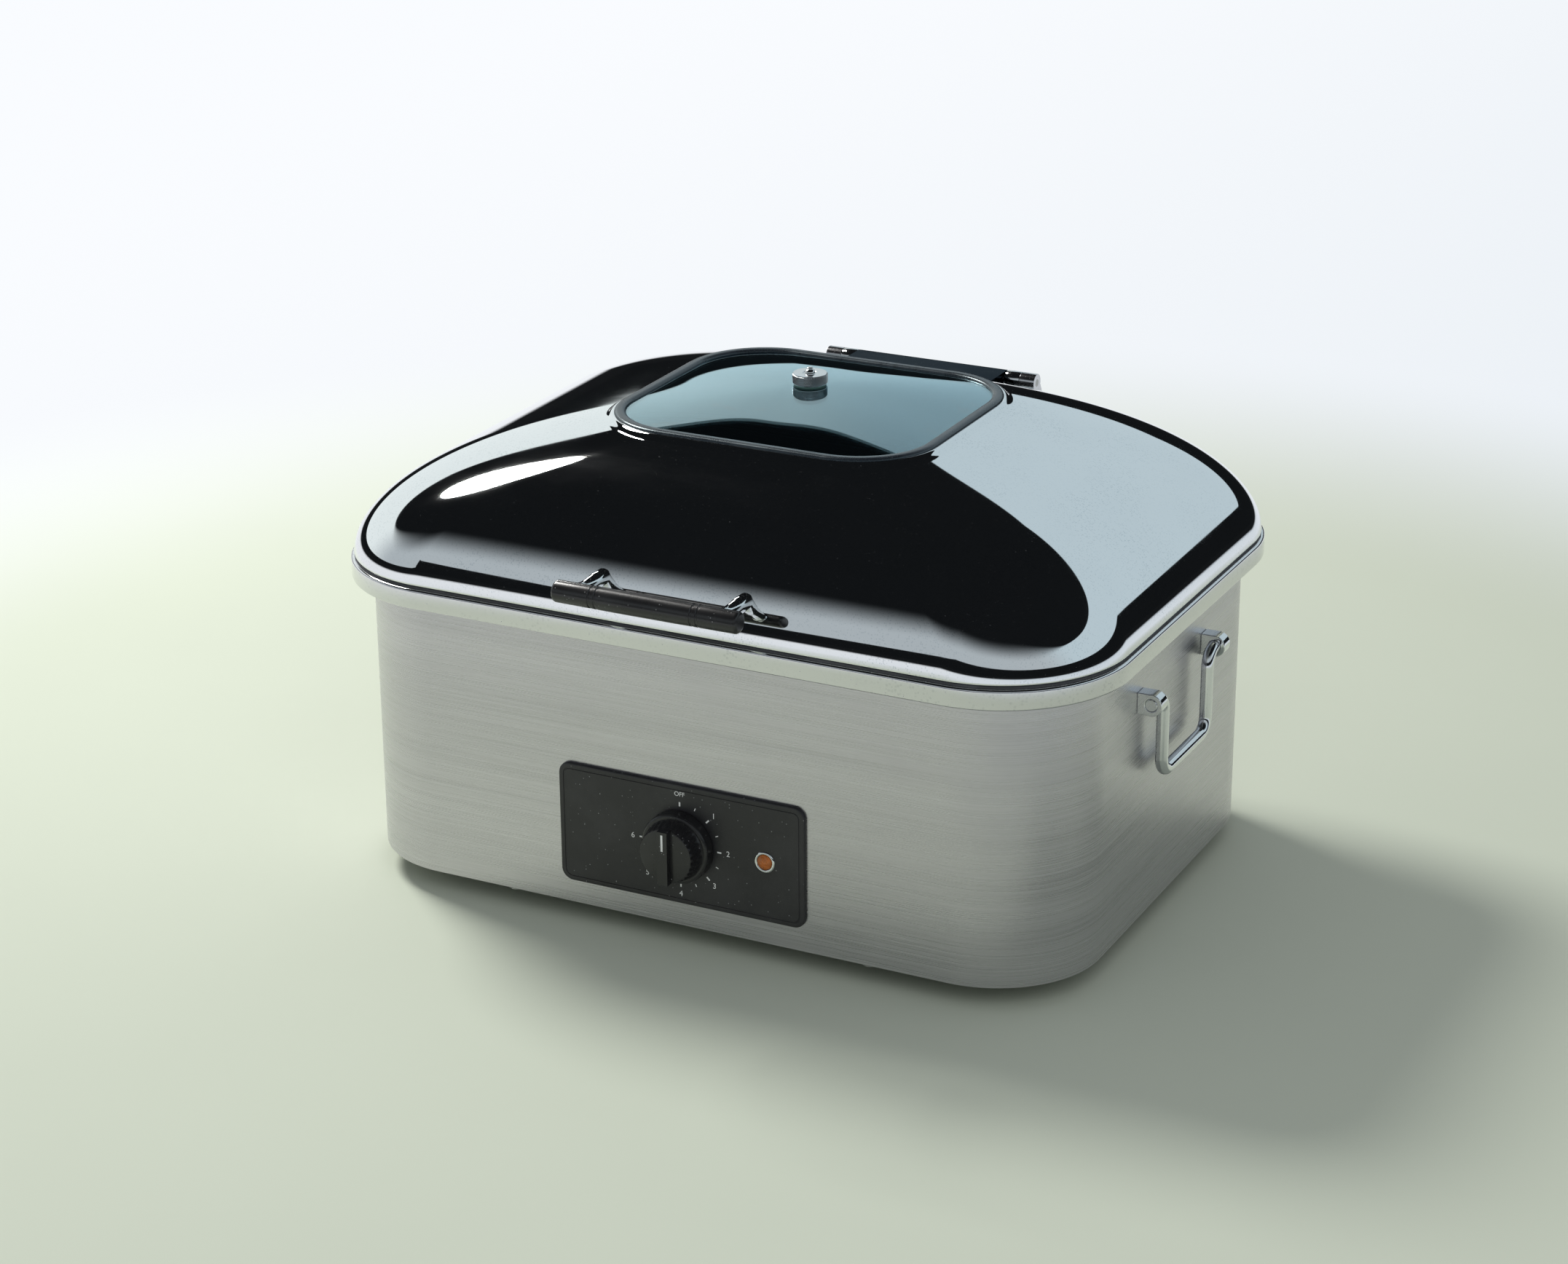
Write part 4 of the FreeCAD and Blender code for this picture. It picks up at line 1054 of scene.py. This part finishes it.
def makeWorld():
    world = bpy.data.worlds.new("studioAir")
    wire = startTree(world)
    axes = wire.make("SeparateXYZ", {0: wire.make("TexCoord", out="Generated")})
    height, depth = axes.side("Z"), axes.side("Y")
    swing = axes / (axes ** 2.0 + depth ** 2.0) ** 0.5  # -1 at the left, 1 at the right
    top, low, screen = (wire.make("MapRange", dict(enumerate((swing, *studio[key]))))
                        for key in ("wallTop", "bandTop", "screenTop"))
    low = wire.maths("MAXIMUM", low, screen * swing.ramp(*studio["screenEdge"]))
    front = (0 - depth).ramp(*studio["frontTurn"])
    wall = swing.ramp(*studio["wallTurn"]).tint(studio["wallLeft"], studio["wallRight"])
    wall = front.tint(wall, studio["front"])
    edge = front * studio["frontEdge"] + studio["wallEdge"]
    above = ((height - top) / edge).ramp(-1.0, 1.0)
    band = ((low - height) / studio["bandEdge"]).ramp(-1.0, 1.0)
    room = wire.maths("MAXIMUM", above, band).tint(wall, studio["roof"])
    path, seen = lightPath(wire)
    # painted light falloff: the backdrop is brighter at the left and darker, bluer at the right
    backdrop = swing.ramp(*studio["backdrop"]).tint(studio["farLeft"], studio["farRight"])
    tone = path.tint(room, backdrop)  # the paper carries on, and only metal and glass show the room
    shown = wire.make("Background", {"Color": tone, "Strength": 1.0})
    fill = wire.make("Background", {"Color": studio["ambient"], "Strength": 1.0})
    endTree(world, wire.make("MixShader", {0: seen, 1: fill, 2: shown}), "World")
    bpy.context.scene.world = world


lamps = [
    dict(name="keyLamp", place=(-1.7, 0.6, 2.0), size=0.9, power=62, tint=(1.0, 0.985, 0.95), shows=True),
    dict(name="fillLamp", place=(1.2, -1.9, 1.9), size=1.8, power=12, tint=(0.95, 0.98, 1.0), shows=False),
]  # shows: seen in the metal and glass


def makeLamps():
    target = Vector((0, 0, 0.16))
    for each in lamps:
        light = bpy.data.lights.new(each["name"], "AREA")
        light.shape = "DISK"
        light.size = each["size"]
        light.energy = each["power"]
        light.color = each["tint"]
        holder = linked(each["name"], light)
        holder.location = each["place"]
        holder.rotation_euler = (target - Vector(each["place"])).to_track_quat("-Z", "Y").to_euler()
        holder.visible_glossy = each["shows"]


view = dict(place=(0.9513, -1.8978, 0.9798), azimuth=26.948, elevation=21.29, roll=-0.399, lens=81.395)


def makeCamera():
    a, e, r = (radians(view[key]) for key in ("azimuth", "elevation", "roll"))
    back = Vector((sin(a) * cos(e), -cos(a) * cos(e), sin(e)))
    right = Vector((cos(a), sin(a), 0))
    up = back.cross(right)
    turn = Matrix((right * cos(r) + up * sin(r), up * cos(r) - right * sin(r), back)).transposed()
    data = bpy.data.cameras.new("photoCamera")
    data.sensor_fit, data.sensor_width, data.lens = "HORIZONTAL", 36.0, view["lens"]
    camera = linked("photoCamera", data)
    camera.matrix_world = Matrix.Translation(view["place"]) @ turn.to_4x4()
    bpy.context.scene.camera = camera


makeFloor()
makeWorld()
makeLamps()
makeCamera()
bpy.context.scene.view_settings.view_transform = "Standard"
print("stage set")
